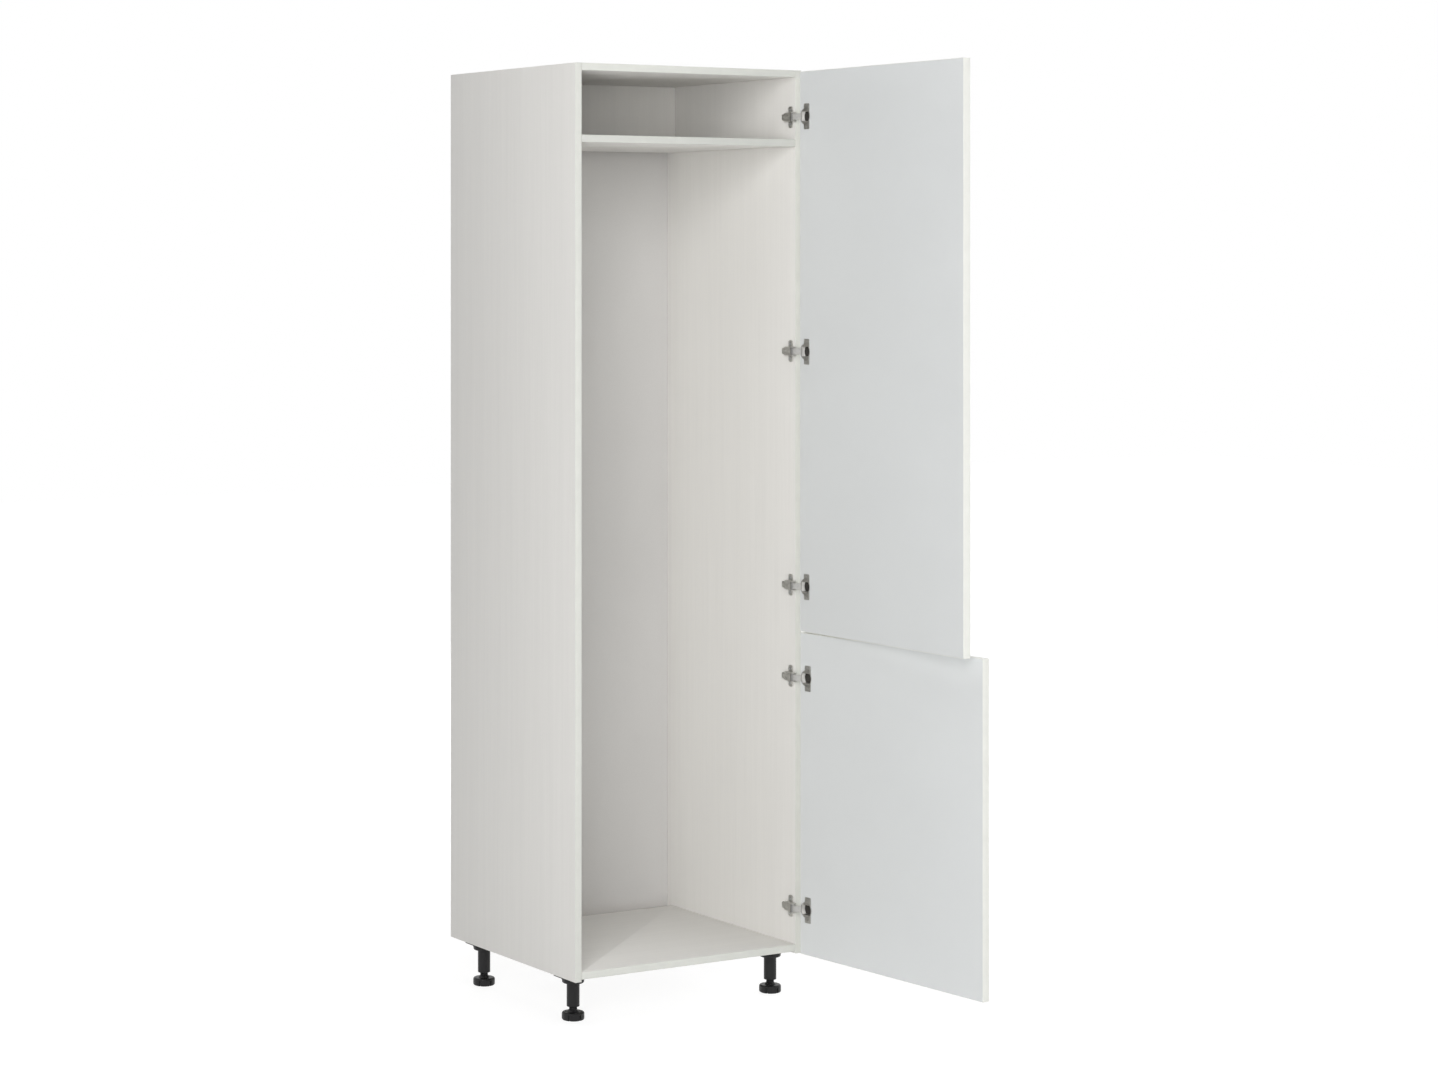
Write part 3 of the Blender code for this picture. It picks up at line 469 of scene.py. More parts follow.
def rounded(corners, radius, steps=4):
    """A closed outline whose corners are arcs. An arc starts before its corner by the radius times
    the tangent of half the turn there, and runs through the whole turn about a centre one radius
    to the side that the outline turns to."""
    corners = np.asarray(corners, float)
    radius = np.broadcast_to(np.asarray(radius, float), len(corners))[:, None]
    coming, going = edge_ways(corners)
    left = leftwards(coming)
    turn = np.arctan2((left * going).sum(axis=1), (coming * going).sum(axis=1))[:, None]
    start = corners - coming * radius * np.tan(np.abs(turn) / 2)
    centre = start + left * radius * np.sign(turn)
    spoke = start - centre
    first = np.arctan2(spoke[:, 1], spoke[:, 0])[:, None]
    angle = first + turn * np.linspace(0, 1, steps + 1)[None, :]
    return (centre[:, None] + radius[:, None] * on_circle(angle)).reshape(-1, 2)


def rectangle(low, high):
    """Corners of a rectangle, counterclockwise."""
    return [(low[0], low[1]), (high[0], low[1]), (high[0], high[1]), (low[0], high[1])]


def circle_part(centre, radius, start, end, steps):
    """Points of an arc at equal angles."""
    return on_circle(np.linspace(start, end, steps + 1)) * radius + np.asarray(centre)


def stadium(centre, half_length, radius, steps=16):
    """Outline of two half circles, half a length before and after the centre along the first
    coordinate. Its angles start half a step in, so that a full circle has no point twice."""
    angle = ((np.arange(steps) + 0.5) / steps - 0.5) * math.pi
    front = on_circle(angle) * radius + (half_length, 0)
    return np.concatenate([front, -front]) + np.asarray(centre)


def shrunk(outline, distances):
    """A counterclockwise outline moved inwards by each of several distances: a point goes along
    the bisector of its two edges' normals, by the distance over the cosine of half the turn."""
    coming, going = edge_ways(outline)
    normal = unit(leftwards(coming + going))
    cosine = (normal * leftwards(coming)).sum(axis=1, keepdims=True)
    return outline[None] + np.asarray(distances)[:, None, None] * (normal / cosine)[None]


def eased(low, high, ease, steps=3):
    """Heights and insets of a shape with a quarter round at both ends: the height rises by one
    minus the cosine of the angle while the inset is one minus its sine."""
    sine, cosine = quarter_turn(steps)
    rise = ease * (1 - cosine)
    inset = ease * (1 - sine)
    return np.concatenate([low + rise, high - rise[::-1]]), np.concatenate([inset, inset[::-1]])


def extruded(outline, low, high, ease, axis):
    """A flat outline carried along an axis between two places, both ends eased. The outline's
    coordinates are those that follow the axis: y and z for x, z and x for y, x and y for z."""
    heights, insets = eased(low, high, ease)
    flat = shrunk(np.asarray(outline, float), insets)
    along = np.broadcast_to(heights[:, None, None], flat.shape[:2] + (1,))
    return lofted(np.roll(np.concatenate([flat, along], axis=-1), axis + 1, axis=-1))


def as_rows(values):
    """A number or a row of numbers as a column, an array as it is."""
    values = np.atleast_1d(np.asarray(values, float))
    return values if values.ndim == 2 else values[:, None]


def turned(profile, sides, axis=2, wrap=False):
    """A profile turned about an axis: each point goes round at its radius and height. The profile
    is a row of pairs of radius and height, and each of the two is a number, a row of numbers, or
    an array whose second index goes round the axis."""
    angle = np.arange(sides) * (2 * math.pi / sides)
    pairs = [
        np.broadcast_arrays(as_rows(radius), as_rows(height), angle[None, :])[:2]
        for radius, height in profile
    ]
    radii, heights = (np.concatenate(parts) for parts in zip(*pairs))
    rings = np.stack([radii * np.cos(angle), radii * np.sin(angle), heights], axis=-1)
    return lofted(np.roll(rings, axis + 1, axis=-1), wrap)


def ringed(outer, inner, low, high, axis):
    """A flat plate with one hole: the outer and the inner outline, which have as many points as
    each other, each at both heights, joined round."""
    corners = ((inner, high), (inner, low), (outer, low), (outer, high))
    rings = [np.column_stack([flat, np.full(len(flat), height)]) for flat, height in corners]
    return lofted(np.roll(np.array(rings), axis + 1, axis=-1), wrap=True)


# Pieces


def own_mesh(name, skin):
    """A mesh of a skin, its round parts shaded smooth up to an angle."""
    mesh = bpy.data.meshes.new(name)
    mesh.vertices.add(len(skin.points))
    mesh.vertices.foreach_set("co", skin.points.ravel())
    mesh.loops.add(len(skin.corners))
    mesh.loops.foreach_set("vertex_index", skin.corners.astype(np.int32))
    mesh.polygons.add(len(skin.counts))
    starts = np.cumsum(skin.counts) - skin.counts
    mesh.polygons.foreach_set("loop_start", starts.astype(np.int32))
    mesh.update(calc_edges=True)
    mesh.validate()
    mesh.shade_smooth()
    mesh.set_sharp_from_angle(angle=SMOOTH)
    return mesh


def put_in_scene(name, data):
    """A new object of the scene."""
    made = bpy.data.objects.new(name, data)
    bpy.context.scene.collection.objects.link(made)
    return made


def piece(name, skin, materials, body, node):
    """A finished piece that rides on a body and stands for a node of the frame."""
    made = put_in_scene(name, own_mesh(name, skin))
    for material in materials:
        made.data.materials.append(material)
    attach(made, body)
    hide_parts(node)
    return made


def number_finishes(made, numbers):
    """Gives each face the finish of its number."""
    made.data.polygons.foreach_set("material_index", np.asarray(numbers, np.int32))


def face_normals(made):
    """Which way each face of a piece looks."""
    normals = np.empty(len(made.data.polygons) * 3)
    made.data.polygons.foreach_get("normal", normals)
    return normals.reshape(-1, 3)


def face_middles(skin):
    """The mean of each face's corners."""
    starts = np.cumsum(skin.counts) - skin.counts
    return np.add.reduceat(skin.points[skin.corners], starts) / skin.counts[:, None]


def box(node):
    """The low and the high corner of a node's box."""
    low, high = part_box(node)
    return np.array(low), np.array(high)


# Finishes


def add(tree, kind, inputs=(), **settings):
    """A node with its settings and inputs."""
    made = tree.nodes.new(kind)
    for name, value in settings.items():
        setattr(made, name, value)
    feed(tree, made, inputs)
    return made


def feed(tree, node, inputs):
    """Fills a node's inputs, each with a value or with another node's output."""
    for name, value in dict(inputs).items():
        if isinstance(value, bpy.types.NodeSocket):
            tree.links.new(value, node.inputs[name])
        else:
            node.inputs[name].default_value = value


def place_on(tree, scale=(1.0, 1.0, 1.0)):
    """Where a point is on its piece, in metres, times a scale for each axis."""
    coordinates = add(tree, "ShaderNodeTexCoord")
    mapping = {"Vector": coordinates.outputs["Object"], "Scale": scale}
    return add(tree, "ShaderNodeMapping", mapping).outputs["Vector"]


def noise(tree, scale, detail, roughness=0.55):
    """Cloudy noise, so many clouds to the metre: one number, or one for each axis."""
    scale = tuple(np.broadcast_to(scale, 3).tolist())
    inputs = {"Vector": place_on(tree, scale), "Scale": 1.0}
    inputs |= {"Detail": detail, "Roughness": roughness}
    return add(tree, "ShaderNodeTexNoise", inputs).outputs["Fac"]


def between(tree, value, low, high, from_low=0.3, from_high=0.7):
    """A value from one range carried to another."""
    inputs = {"Value": value, "From Min": from_low, "From Max": from_high}
    inputs |= {"To Min": low, "To Max": high}
    return add(tree, "ShaderNodeMapRange", inputs).outputs["Result"]


def toned(tree, colour, *patterns):
    """A colour times one amount for each pattern: a value, then the range it's carried to."""
    for pattern in patterns:
        inputs = {0: colour, "Scale": between(tree, *pattern)}
        colour = add(tree, "ShaderNodeVectorMath", inputs, operation="SCALE").outputs["Vector"]
    return colour


def bumped(tree, height, distance, strength=1.0, **below):
    """The slant that a relief of this depth gives the surface, over another one where given."""
    inputs = {"Height": height, "Distance": distance, "Strength": strength} | below
    return add(tree, "ShaderNodeBump", inputs).outputs["Normal"]


def started(name):
    """A new material and its tree of nodes."""
    material = bpy.data.materials.new(name)
    material.use_nodes = True
    return material, material.node_tree


def finished(material, inputs):
    """A material whose shader has these inputs."""
    feed(material.node_tree, material.node_tree.nodes["Principled BSDF"], inputs)
    return material


def melamine(name, colour, grain):
    """White melamine: fine and broad streaks along the grain, which only just show, over a pearl
    of small dimples. The grain is 0 for x and 2 for z."""
    material, tree = started(name)
    fine = [330.0] * 3
    broad = [62.0] * 3
    fine[grain] = 5.0
    broad[grain] = 1.3
    streaks = noise(tree, fine, detail=4.0)
    bands = noise(tree, broad, detail=2.0)
    relief = bumped(tree, streaks, 0.000012)
    inputs = {
        "Base Color": toned(tree, colour, (streaks, 0.985, 1.012), (bands, 0.985, 1.012)),
        "Roughness": between(tree, streaks, 0.40, 0.50),
        "Normal": bumped(tree, noise(tree, 1500.0, detail=1.0), 0.00002, Normal=relief),
    }
    return finished(material, inputs)


def chipboard(name, colour):
    """Bare chipboard: flat chips of several browns, darker gaps between them."""
    material, tree = started(name)
    inputs = {"Vector": place_on(tree, (1.0, 1.0, 1.6)), "Scale": 420.0, "Randomness": 1.0}
    chips = add(tree, "ShaderNodeTexVoronoi", inputs)
    browns = add(tree, "ShaderNodeSeparateColor", {"Color": chips.outputs["Color"]}).outputs["Red"]
    dust = noise(tree, 2600.0, detail=2.0)
    inputs = {
        "Base Color": toned(tree, colour, (browns, 0.62, 1.3, 0.0, 1.0), (dust, 0.8, 1.12)),
        "Roughness": 0.85,
        "Normal": bumped(tree, chips.outputs["Distance"], 0.0003, strength=0.6),
    }
    return finished(material, inputs)


def lacquered_back(name, colour):
    """White lacquer on hardboard: a soft ripple and a few faint clouds."""
    material, tree = started(name)
    ripple = noise(tree, 420.0, detail=2.0)
    clouds = noise(tree, (6.0, 6.0, 3.0), detail=2.0)
    inputs = {
        "Base Color": toned(tree, colour, (clouds, 0.98, 1.02), (ripple, 0.985, 1.01)),
        "Roughness": between(tree, ripple, 0.44, 0.54),
        "Normal": bumped(tree, ripple, 0.00003),
    }
    return finished(material, inputs)


def bare_hardboard(name, colour):
    """Bare hardboard: short fibres of light and dark brown, matt."""
    material, tree = started(name)
    fibres = noise(tree, (260.0, 260.0, 900.0), detail=5.0, roughness=0.7)
    clouds = noise(tree, 9.0, detail=3.0)
    inputs = {
        "Base Color": toned(tree, colour, (fibres, 0.72, 1.28), (clouds, 0.9, 1.1)),
        "Roughness": 0.8,
        "Normal": bumped(tree, fibres, 0.00012, strength=0.6),
    }
    return finished(material, inputs)


def edging(name, colour):
    """Cream edge band: a smooth plastic strip with faint clouds and a fine grain."""
    material, tree = started(name)
    grain = noise(tree, 1100.0, detail=1.0)
    inputs = {
        "Base Color": toned(tree, colour, (noise(tree, 35.0, detail=2.0), 0.98, 1.02)),
        "Roughness": between(tree, grain, 0.34, 0.44),
        "Normal": bumped(tree, grain, 0.00001),
    }
    return finished(material, inputs)


def smooth_door(name, colour):
    """Smooth satin door face: no grain, a very fine ripple and faint wiped patches in its gloss."""
    material, tree = started(name)
    wiped = noise(tree, (7.0, 3.0, 5.0), detail=4.0, roughness=0.65)
    inputs = {
        "Base Color": toned(tree, colour, (wiped, 0.988, 1.01)),
        "Roughness": between(tree, wiped, 0.30, 0.42),
        "Normal": bumped(tree, noise(tree, 900.0, detail=1.0), 0.00001),
    }
    return finished(material, inputs)


def plated(name, colour, smooth=0.42, rough=0.56):
    """Plated steel: fine rolling lines and cloudy gloss, the darker clouds smoother."""
    material, tree = started(name)
    clouds = noise(tree, 160.0, detail=4.0)
    inputs = {
        "Metallic": 1.0,
        "Base Color": toned(tree, colour, (clouds, 0.86, 1.08)),
        "Roughness": between(tree, clouds, smooth, rough),
        "Normal": bumped(tree, noise(tree, (900.0, 9000.0, 900.0), detail=2.0), 0.000006),
    }
    return finished(material, inputs)


def moulded(name, colour):
    """Moulded plastic: a fine spark-eroded grain with slightly cloudy gloss."""
    material, tree = started(name)
    clouds = noise(tree, (70.0, 70.0, 40.0), detail=3.0)
    inputs = {
        "Specular IOR Level": 0.28,
        "Base Color": toned(tree, colour, (clouds, 0.8, 1.35)),
        "Roughness": between(tree, clouds, 0.30, 0.44),
        "Normal": bumped(tree, noise(tree, 2200.0, detail=2.0), 0.00003, strength=0.6),
    }
    return finished(material, inputs)


# Boards and bands


def side_outline(low, high, inward):
    """Outline of a side board from above, with the groove that holds the back."""
    back_low, back_high = box("back_panel")
    inner = high[0] if inward > 0 else low[0]
    floor = inner - inward * GROOVE_DEPTH
    front = back_low[1] - GROOVE_PLAY
    rear = back_high[1] + GROOVE_PLAY
    groove = [(inner, front), (floor, front), (floor, rear), (inner, rear)]
    corners = rectangle(low, high)
    if inward > 0:
        return corners[:2] + groove + corners[2:]
    return corners + groove[::-1]


class CABINET_OT_boards(bpy.types.Operator):
    """Build the side, top, shelf, bottom and upper back boards and the thin back"""

    bl_idname = "cabinet.boards"
    bl_label = "Boards"

    def execute(self, context):
        ease = sizes().board_ease
        upright = melamine("upright_melamine", colours().melamine, grain=2)
        level = melamine("level_melamine", colours().melamine, grain=0)
        core = chipboard("chipboard_core", colours().core)
        for node, (name, thin) in BOARDS.items():
            low, high = box(node)
            outline = rectangle(low, high)
            if node in GROOVED:
                outline = side_outline(low, high, GROOVED[node])
            skin = extruded(rounded(outline, ease), low[2], high[2], ease, axis=2)
            finishes = (level if thin == 2 else upright, core)
            made = piece(name, skin, finishes, "carcass", node)
            number_finishes(made, np.abs(face_normals(made)[:, thin]) <= LOOKS_ALONG)
        build_thin_back()
        return {"FINISHED"}


def build_thin_back():
    """The thin back: lacquered in front, bare behind."""
    low, high = box("back_panel")
    ease = sizes().board_ease
    skin = extruded(rounded(rectangle(low, high), ease), low[2], high[2], ease, axis=2)
    lacquer = lacquered_back("back_lacquer", colours().back)
    fibre = bare_hardboard("back_fibre", colours().fibre)
    made = piece("thin_back", skin, (lacquer, fibre), "carcass", "back_panel")
    number_finishes(made, face_normals(made)[:, 1] > -LOOKS_ALONG)


class CABINET_OT_edge_bands(bpy.types.Operator):
    """Build the bands on the boards' front edges"""

    bl_idname = "cabinet.edge_bands"
    bl_label = "Edge bands"

    def execute(self, context):
        ease = sizes().band_ease
        sharp = sizes().board_ease / 2
        cream = edging("cream_band", colours().band)
        # The shelf's band is a darker copy of the cream band, which paints in the shade on it
        shaded = edging("shelf_band", colours().shelf_band)
        for node, axis in BANDS.items():
            low, high = box(node)
            # The front's two corners are the eased ones: in x and y, or in y and z
            if axis == 2:
                outline = rounded(rectangle(low, high), (ease, ease, sharp, sharp))
            else:
                outline = rounded(rectangle(low[1:], high[1:]), (ease, sharp, sharp, ease))
            skin = extruded(outline, low[axis], high[axis], sharp, axis)
            finishes = (shaded if node.startswith("shelf") else cream,)
            piece(node + "_strip", skin, finishes, "carcass", node)
        return {"FINISHED"}


# Doors


def door_turn(door):
    """Carries a shape from a closed door, about the door's axis, to the open one."""
    joint = next(j for j in frame["joints"] if j["name"] == door + "_door_hinge")
    move = Matrix.Translation((joint["pos_m"][0], joint["pos_m"][1], 0))
    return move @ Matrix.Rotation(DOOR_OPENINGS[door], 4, "Z")


def door_band(low_z, high_z):
    """The band round a door's edges: its section carried round the door's rectangle, each corner
    a mitre. The section's first coordinate is how far in it is from the door's edge."""
    ease = sizes().band_ease
    sharp = sizes().board_ease / 2
    front = AXIS_TO_INNER_FACE - DOOR_THICKNESS
    flat = rectangle((0, front), (BAND_THICKNESS, AXIS_TO_INNER_FACE))
    section = rounded(flat, (ease, sharp, sharp, ease))
    right = -AXIS_TO_EDGE
    left = right - DOOR_WIDTH
    corners = np.array([(left, low_z), (left, high_z), (right, high_z), (right, low_z)])
    inwards = np.array([(1, 1), (1, -1), (-1, -1), (-1, 1)])
    plan = corners[:, None] + inwards[:, None] * section[None, :, :1]
    depth = np.broadcast_to(section[None, :, 1:], plan.shape[:2] + (1,))
    rings = np.concatenate([plan[..., :1], depth, plan[..., 1:]], axis=-1)
    return lofted(rings, wrap=True)


class CABINET_OT_doors(bpy.types.Operator):
    """Finish the doors' slabs and build the bands round them"""

    bl_idname = "cabinet.doors"
    bl_label = "Doors"

    def execute(self, context):
        face = smooth_door("door_face", colours().door)
        bands = (edging("door_band", colours().door_band),)
        for door in DOOR_OPENINGS:
            for slot in frame["nodes"][door + "_door"].material_slots:
                slot.material = face
            node = door + "_door_edge_bands"
            low, high = box(node)
            skin = placed(door_band(low[2], high[2]), door_turn(door))
            name = door + "_door_banding"
            piece(name, skin, bands, door + "_door_leaf", node)
        return {"FINISHED"}


# Screws


def screw_skin(head_radius, shank_length, cross_turn=0.0):
    """A screw along -Z with its head's underside at the origin. The head's top is a dome, lower by
    the square of the distance from its middle, with a cross cut into it: the cut is full inside
    the cross and fades out over a narrow border."""
    width = sizes().recess_width / 2
    border = width / 2
    share = np.linspace(1, SCREW_LAST_RING, SCREW_RINGS)[:, None]
    angle = np.arange(SCREW_SIDES)[None, :] * (2 * math.pi / SCREW_SIDES) + cross_turn
    along = np.abs(share * head_radius * np.cos(angle))
    across = np.abs(share * head_radius * np.sin(angle))
    reach = head_radius * CROSS_REACH
    outside = np.maximum(np.minimum(along, across) - width, np.maximum(along, across) - reach)
    cut = np.clip(0.5 - outside / border, 0, 1)
    dome = SCREW_SIDE + SCREW_DOME * (1 - share**2) - sizes().recess_depth * cut
    profile = (
        (SCREW_SHANK / 3, -shank_length),
        (SCREW_SHANK, -shank_length + SCREW_SHANK),
        (SCREW_SHANK, 0),
        (head_radius, 0),
        (head_radius, SCREW_SIDE / 2),
        (share * head_radius, dome),
    )
    return turned(profile, SCREW_SIDES)


# Hinges


def plate_skin():
    """The mounting plate: two wings with round ends, a pad under each screw, and the rail."""
    ease = sizes().metal_ease
    quarter = [
        (WING_HALF_WIDTH, -WING_HALF_LENGTH),
        (WING_HALF_WIDTH, -WAIST_END),
        (WAIST_HALF_WIDTH, -WAIST_START),
    ]
    half = np.array(quarter + [(across, -along) for across, along in quarter[::-1]])
    outline = np.concatenate([half, -half]) + (WING_MIDDLE, 0)
    radii = (WING_CORNER, WAIST_CORNER, WAIST_CORNER)
    outline = rounded(outline, (radii + radii[::-1]) * 2)
    shapes = [extruded(outline, -WING_TOP, -SHEET_GAP, 2 * ease, axis=0)]
    flat = rectangle((RAIL_FRONT, -RAIL_HALF_WIDTH), (RAIL_REAR, RAIL_HALF_WIDTH))
    under = -SHEET_GAP - ease
    shapes.append(extruded(rounded(flat, RAIL_CORNER), -RAIL_TOP, under, 2 * ease, axis=0))
    for side in (1, -1):
        outline = stadium((WING_MIDDLE, side * PLATE_SCREW_SPREAD), 0, PAD_RADIUS)
        shapes.append(extruded(outline, -PAD_TOP, under, ease / 2, axis=0))
    return joined(*shapes)


def channel_rings(along, half, top, bend):
    """Rings of a channel open towards the panel: up the left cheek, round the left bend, over the
    web, round the right bend and down, then back inside one sheet's thickness in. The half width,
    the top and the bend's radius change along the channel."""
    sine, cosine = quarter_turn(4)
    half, top, bend = (values[:, None] for values in (half, top, bend))
    skirt = np.full_like(half, ARM_SKIRT)
    outer_across = half - bend + bend * cosine
    outer_up = top - bend + bend * sine
    inner_across = half - bend + (bend - ARM_SHEET) * cosine
    inner_up = top - bend + (bend - ARM_SHEET) * sine
    across = [-half, -outer_across, outer_across[:, ::-1], half]
    across += [half - ARM_SHEET, inner_across, -inner_across[:, ::-1], -half + ARM_SHEET]
    up = [skirt, outer_up, outer_up[:, ::-1], skirt]
    up += [skirt, inner_up, inner_up[:, ::-1], skirt]
    across = np.concatenate(across, axis=1)
    depth = np.broadcast_to(along[:, None], across.shape)
    return np.stack([-np.concatenate(up, axis=1), depth, across], axis=-1)


def cover_outline():
    """Side view of the sheet that goes on from the arm's web and bends over the pin: two arcs about
    the pin, one sheet's thickness apart, whose rear ends run back to the web."""
    turn = np.linspace(COVER_REAR_TURN, COVER_FRONT_TURN, COVER_STATIONS)
    ray = on_circle(turn) * (-1, 1)
    pin = np.array((-PIN_HEIGHT, PIN_FRONT))
    outer = pin + COVER_RADIUS * ray
    inner = pin + (COVER_RADIUS - COVER_SHEET) * ray
    rear = np.array([(-ARM_NOSE_TOP, ARM_FRONT), (-ARM_NOSE_TOP + COVER_SHEET, ARM_FRONT)])
    return np.concatenate([rear[:1], outer, inner[::-1], rear[1:]])


def arm_channel():
    """The arm's channel: it narrows at its tail and rises at its nose by smooth steps, its tail
    drops by another, and its rib is a bell curve."""
    along = np.linspace(ARM_FRONT, ARM_REAR, ARM_STATIONS)
    narrow = smooth_step(along, ARM_SHOULDER, ARM_SHOULDER + ARM_SHOULDER_RUN)
    half = ARM_WIDE_HALF + (ARM_NARROW_HALF - ARM_WIDE_HALF) * narrow
    rise = smooth_step(along, ARM_RAMP_REAR, ARM_FRONT)
    drop = smooth_step(along, ARM_REAR - 2 * ARM_TAIL_DROP, ARM_REAR)
    rib = RIB_HEIGHT * np.exp(-(((along - RIB_PLACE) / RIB_HALF_WIDTH) ** 2))
    top = ARM_TOP + (ARM_NOSE_TOP - ARM_TOP) * rise - ARM_TAIL_DROP * drop + rib
    bend = ARM_BEND + (ARM_FRONT_BEND - ARM_BEND) * rise
    return lofted(channel_rings(along, half, top, bend))


def arm_nose():
    """The arm's two nose cheeks, the sheet over the pin, and the pin with its riveted ends."""
    ease = sizes().metal_ease
    nose = [
        (-ARM_NOSE_TOP, ARM_FRONT),
        (-ARM_NOSE_TOP, NOSE_FRONT),
        (-NOSE_LOW, NOSE_FRONT),
        (-ARM_SKIRT, NOSE_FRONT + NOSE_LOW - ARM_SKIRT),
        (-ARM_SKIRT, ARM_FRONT),
    ]
    outline = rounded(nose, (ease, NOSE_ROUND, NOSE_CORNER, NOSE_CORNER, ease))
    shapes = [
        extruded(outline, low, low + ARM_SHEET, ease, axis=2)
        for low in (-ARM_WIDE_HALF, ARM_WIDE_HALF - ARM_SHEET)
    ]
    width = COVER_HALF_WIDTH
    shapes.append(extruded(cover_outline(), -width, width, COVER_SHEET / 3, axis=2))
    pin_half = ARM_WIDE_HALF + RIVET_RISE
    pin_end = [
        (RIVET_RADIUS - RIVET_RISE, pin_half),
        (RIVET_RADIUS, pin_half - RIVET_RISE / 2),
        (RIVET_RADIUS, ARM_WIDE_HALF),
        (PIN_RADIUS, ARM_WIDE_HALF),
    ]
    pin = turned([(radius, -place) for radius, place in pin_end] + pin_end[::-1], PIN_SIDES)
    shapes.append(placed(pin, Matrix.Translation((-PIN_HEIGHT, PIN_FRONT, 0))))
    return shapes


def arm_skin():
    """The arm: its channel, its nose, and two adjusting screws, each in a raised slot."""
    ease = sizes().metal_ease
    shapes = [arm_channel(), *arm_nose()]
    for number, (place, half_length) in enumerate(zip(ADJUSTERS, SLOT_HALF_LENGTHS)):
        hole = stadium((place, 0), half_length, SLOT_RADIUS)
        lip = stadium((place, 0), half_length, SLOT_RADIUS + SLOT_LIP)
        shapes.append(ringed(lip, hole, -ARM_TOP - SLOT_RISE, -ARM_TOP + ease, axis=0))
        length = ADJUSTER_SEAT - RAIL_TOP
        screw = screw_skin(ADJUSTER_HEAD, length, ADJUSTER_FIRST_TURN + number)
        seat = Matrix.Translation((-ADJUSTER_SEAT, place, 0))
        shapes.append(placed(screw, seat @ OUT_OF_PANEL))
    return joined(*shapes)


def link_skin():
    """The link: a bowed blade that narrows to a round tip, its middle a parabola below the chord,
    and a barrel round the pin."""
    ease = sizes().metal_ease
    share = np.linspace(LINK_BLADE_START, 1, LINK_STATIONS)
    middle = np.stack([LINK_LENGTH * share, -4 * LINK_BOW * share * (1 - share)], axis=-1)
    slope = -4 * LINK_BOW * (1 - 2 * share) / LINK_LENGTH
    normal = unit(np.stack([-slope, np.ones_like(slope)], axis=-1))
    half = (LINK_ROOT_HALF + (LINK_TIP_HALF - LINK_ROOT_HALF) * share)[:, None]
    over = middle + normal * half
    under = middle - normal * half
    turn = math.atan(4 * LINK_BOW / LINK_LENGTH)
    ends = (turn - math.pi / 2, turn + math.pi / 2)
    tip = circle_part(middle[-1], LINK_TIP_HALF, *ends, LINK_TIP_STEPS)
    start = math.atan2(over[0, 1], over[0, 0]) + LINK_EYE_GAP
    end = 2 * math.pi + math.atan2(under[0, 1], under[0, 0]) - LINK_EYE_GAP
    eye = circle_part((0, 0), LINK_EYE_RADIUS, start, end, LINK_EYE_STEPS)
    outline = np.concatenate([under[:-1], tip, over[-2::-1], eye])
    blade = extruded(outline, -LINK_HALF_WIDTH, LINK_HALF_WIDTH, ease, axis=2)
    radius = LINK_EYE_RADIUS - ease / 2
    barrel_end = [
        (PIN_RADIUS + SHEET_GAP, LINK_BARREL_HALF),
        (radius - ease, LINK_BARREL_HALF),
        (radius, LINK_BARREL_HALF - ease),
    ]
    barrel = [(radius, -place) for radius, place in barrel_end] + barrel_end[::-1]
    return joined(blade, turned(barrel, LINK_BARREL_SIDES, wrap=True))


def flange_radii():
    """How far the flange reaches at each angle round the cup: the rim's radius, or further where
    the bar reaches further. The bar's outline is a superellipse with a side nearer the door's
    edge and a side further from it."""
    angle = np.arange(CUP_SIDES) * (2 * math.pi / CUP_SIDES)
    # Angles run from z towards x, as the turned cup's do
    up = np.abs(np.cos(angle))
    out = np.sin(angle)
    side = np.where(out > 0, FLANGE_NEAR, FLANGE_FAR)
    power = FLANGE_ROUNDNESS
    bar = ((up / FLANGE_HALF_LENGTH) ** power + (np.abs(out) / side) ** power) ** (-1 / power)
    return np.maximum(bar, RIM_RADIUS)


def cup_skin():
    """The cup and its flange in one skin: up the outer wall, out under the flange, round its edge,
    back over it to the mouth and down the inside. Two shoulders fill the cup's ends, and a screw
    holds each end of the flange."""
    ease = sizes().metal_ease
    sine, cosine = quarter_turn(4)
    lip_sine, lip_cosine = quarter_turn(3)
    flange = flange_radii()[None, :]
    profile = (
        (CUP_RADIUS - CUP_FILLET * (1 - sine), -CUP_DEPTH + CUP_FILLET * (1 - cosine)),
        (CUP_RADIUS, FLANGE_LOW),
        (flange, FLANGE_LOW),
        (flange, FLANGE_TOP - 2 * ease),
        (flange - ease / 2, FLANGE_TOP - ease / 2),
        (flange - 2 * ease, FLANGE_TOP),
        (CUP_MOUTH + 3 * ease * (1 - lip_sine), FLANGE_TOP - 3 * ease * (1 - lip_cosine)),
        (CUP_MOUTH - CUP_FILLET * (1 - cosine), -CUP_FLOOR + CUP_FILLET * (1 - sine)),
    )
    shapes = [turned(profile, CUP_SIDES, axis=1)]
    reach = CUP_MOUTH - ease / 2
    limit = math.acos(CUP_SHOULDER / reach)
    for middle in (0.0, math.pi):
        ends = (middle - limit, middle + limit)
        segment = circle_part((0, 0), reach, *ends, CUP_SHOULDER_STEPS)
        shapes.append(extruded(segment, -CUP_FLOOR - ease, CUP_SHOULDER_TOP, 2 * ease, axis=1))
    for number, side in enumerate((1, -1)):
        screw = screw_skin(SCREW_HEAD_RADIUS, SCREW_LENGTH, CUP_SCREW_TURN * number)
        seat = Matrix.Translation((-CUP_SCREW_OFFSET, FLANGE_TOP, side * CUP_SCREW_SPREAD))
        shapes.append(placed(screw, seat @ OUT_OF_DOOR))
    return joined(*shapes)


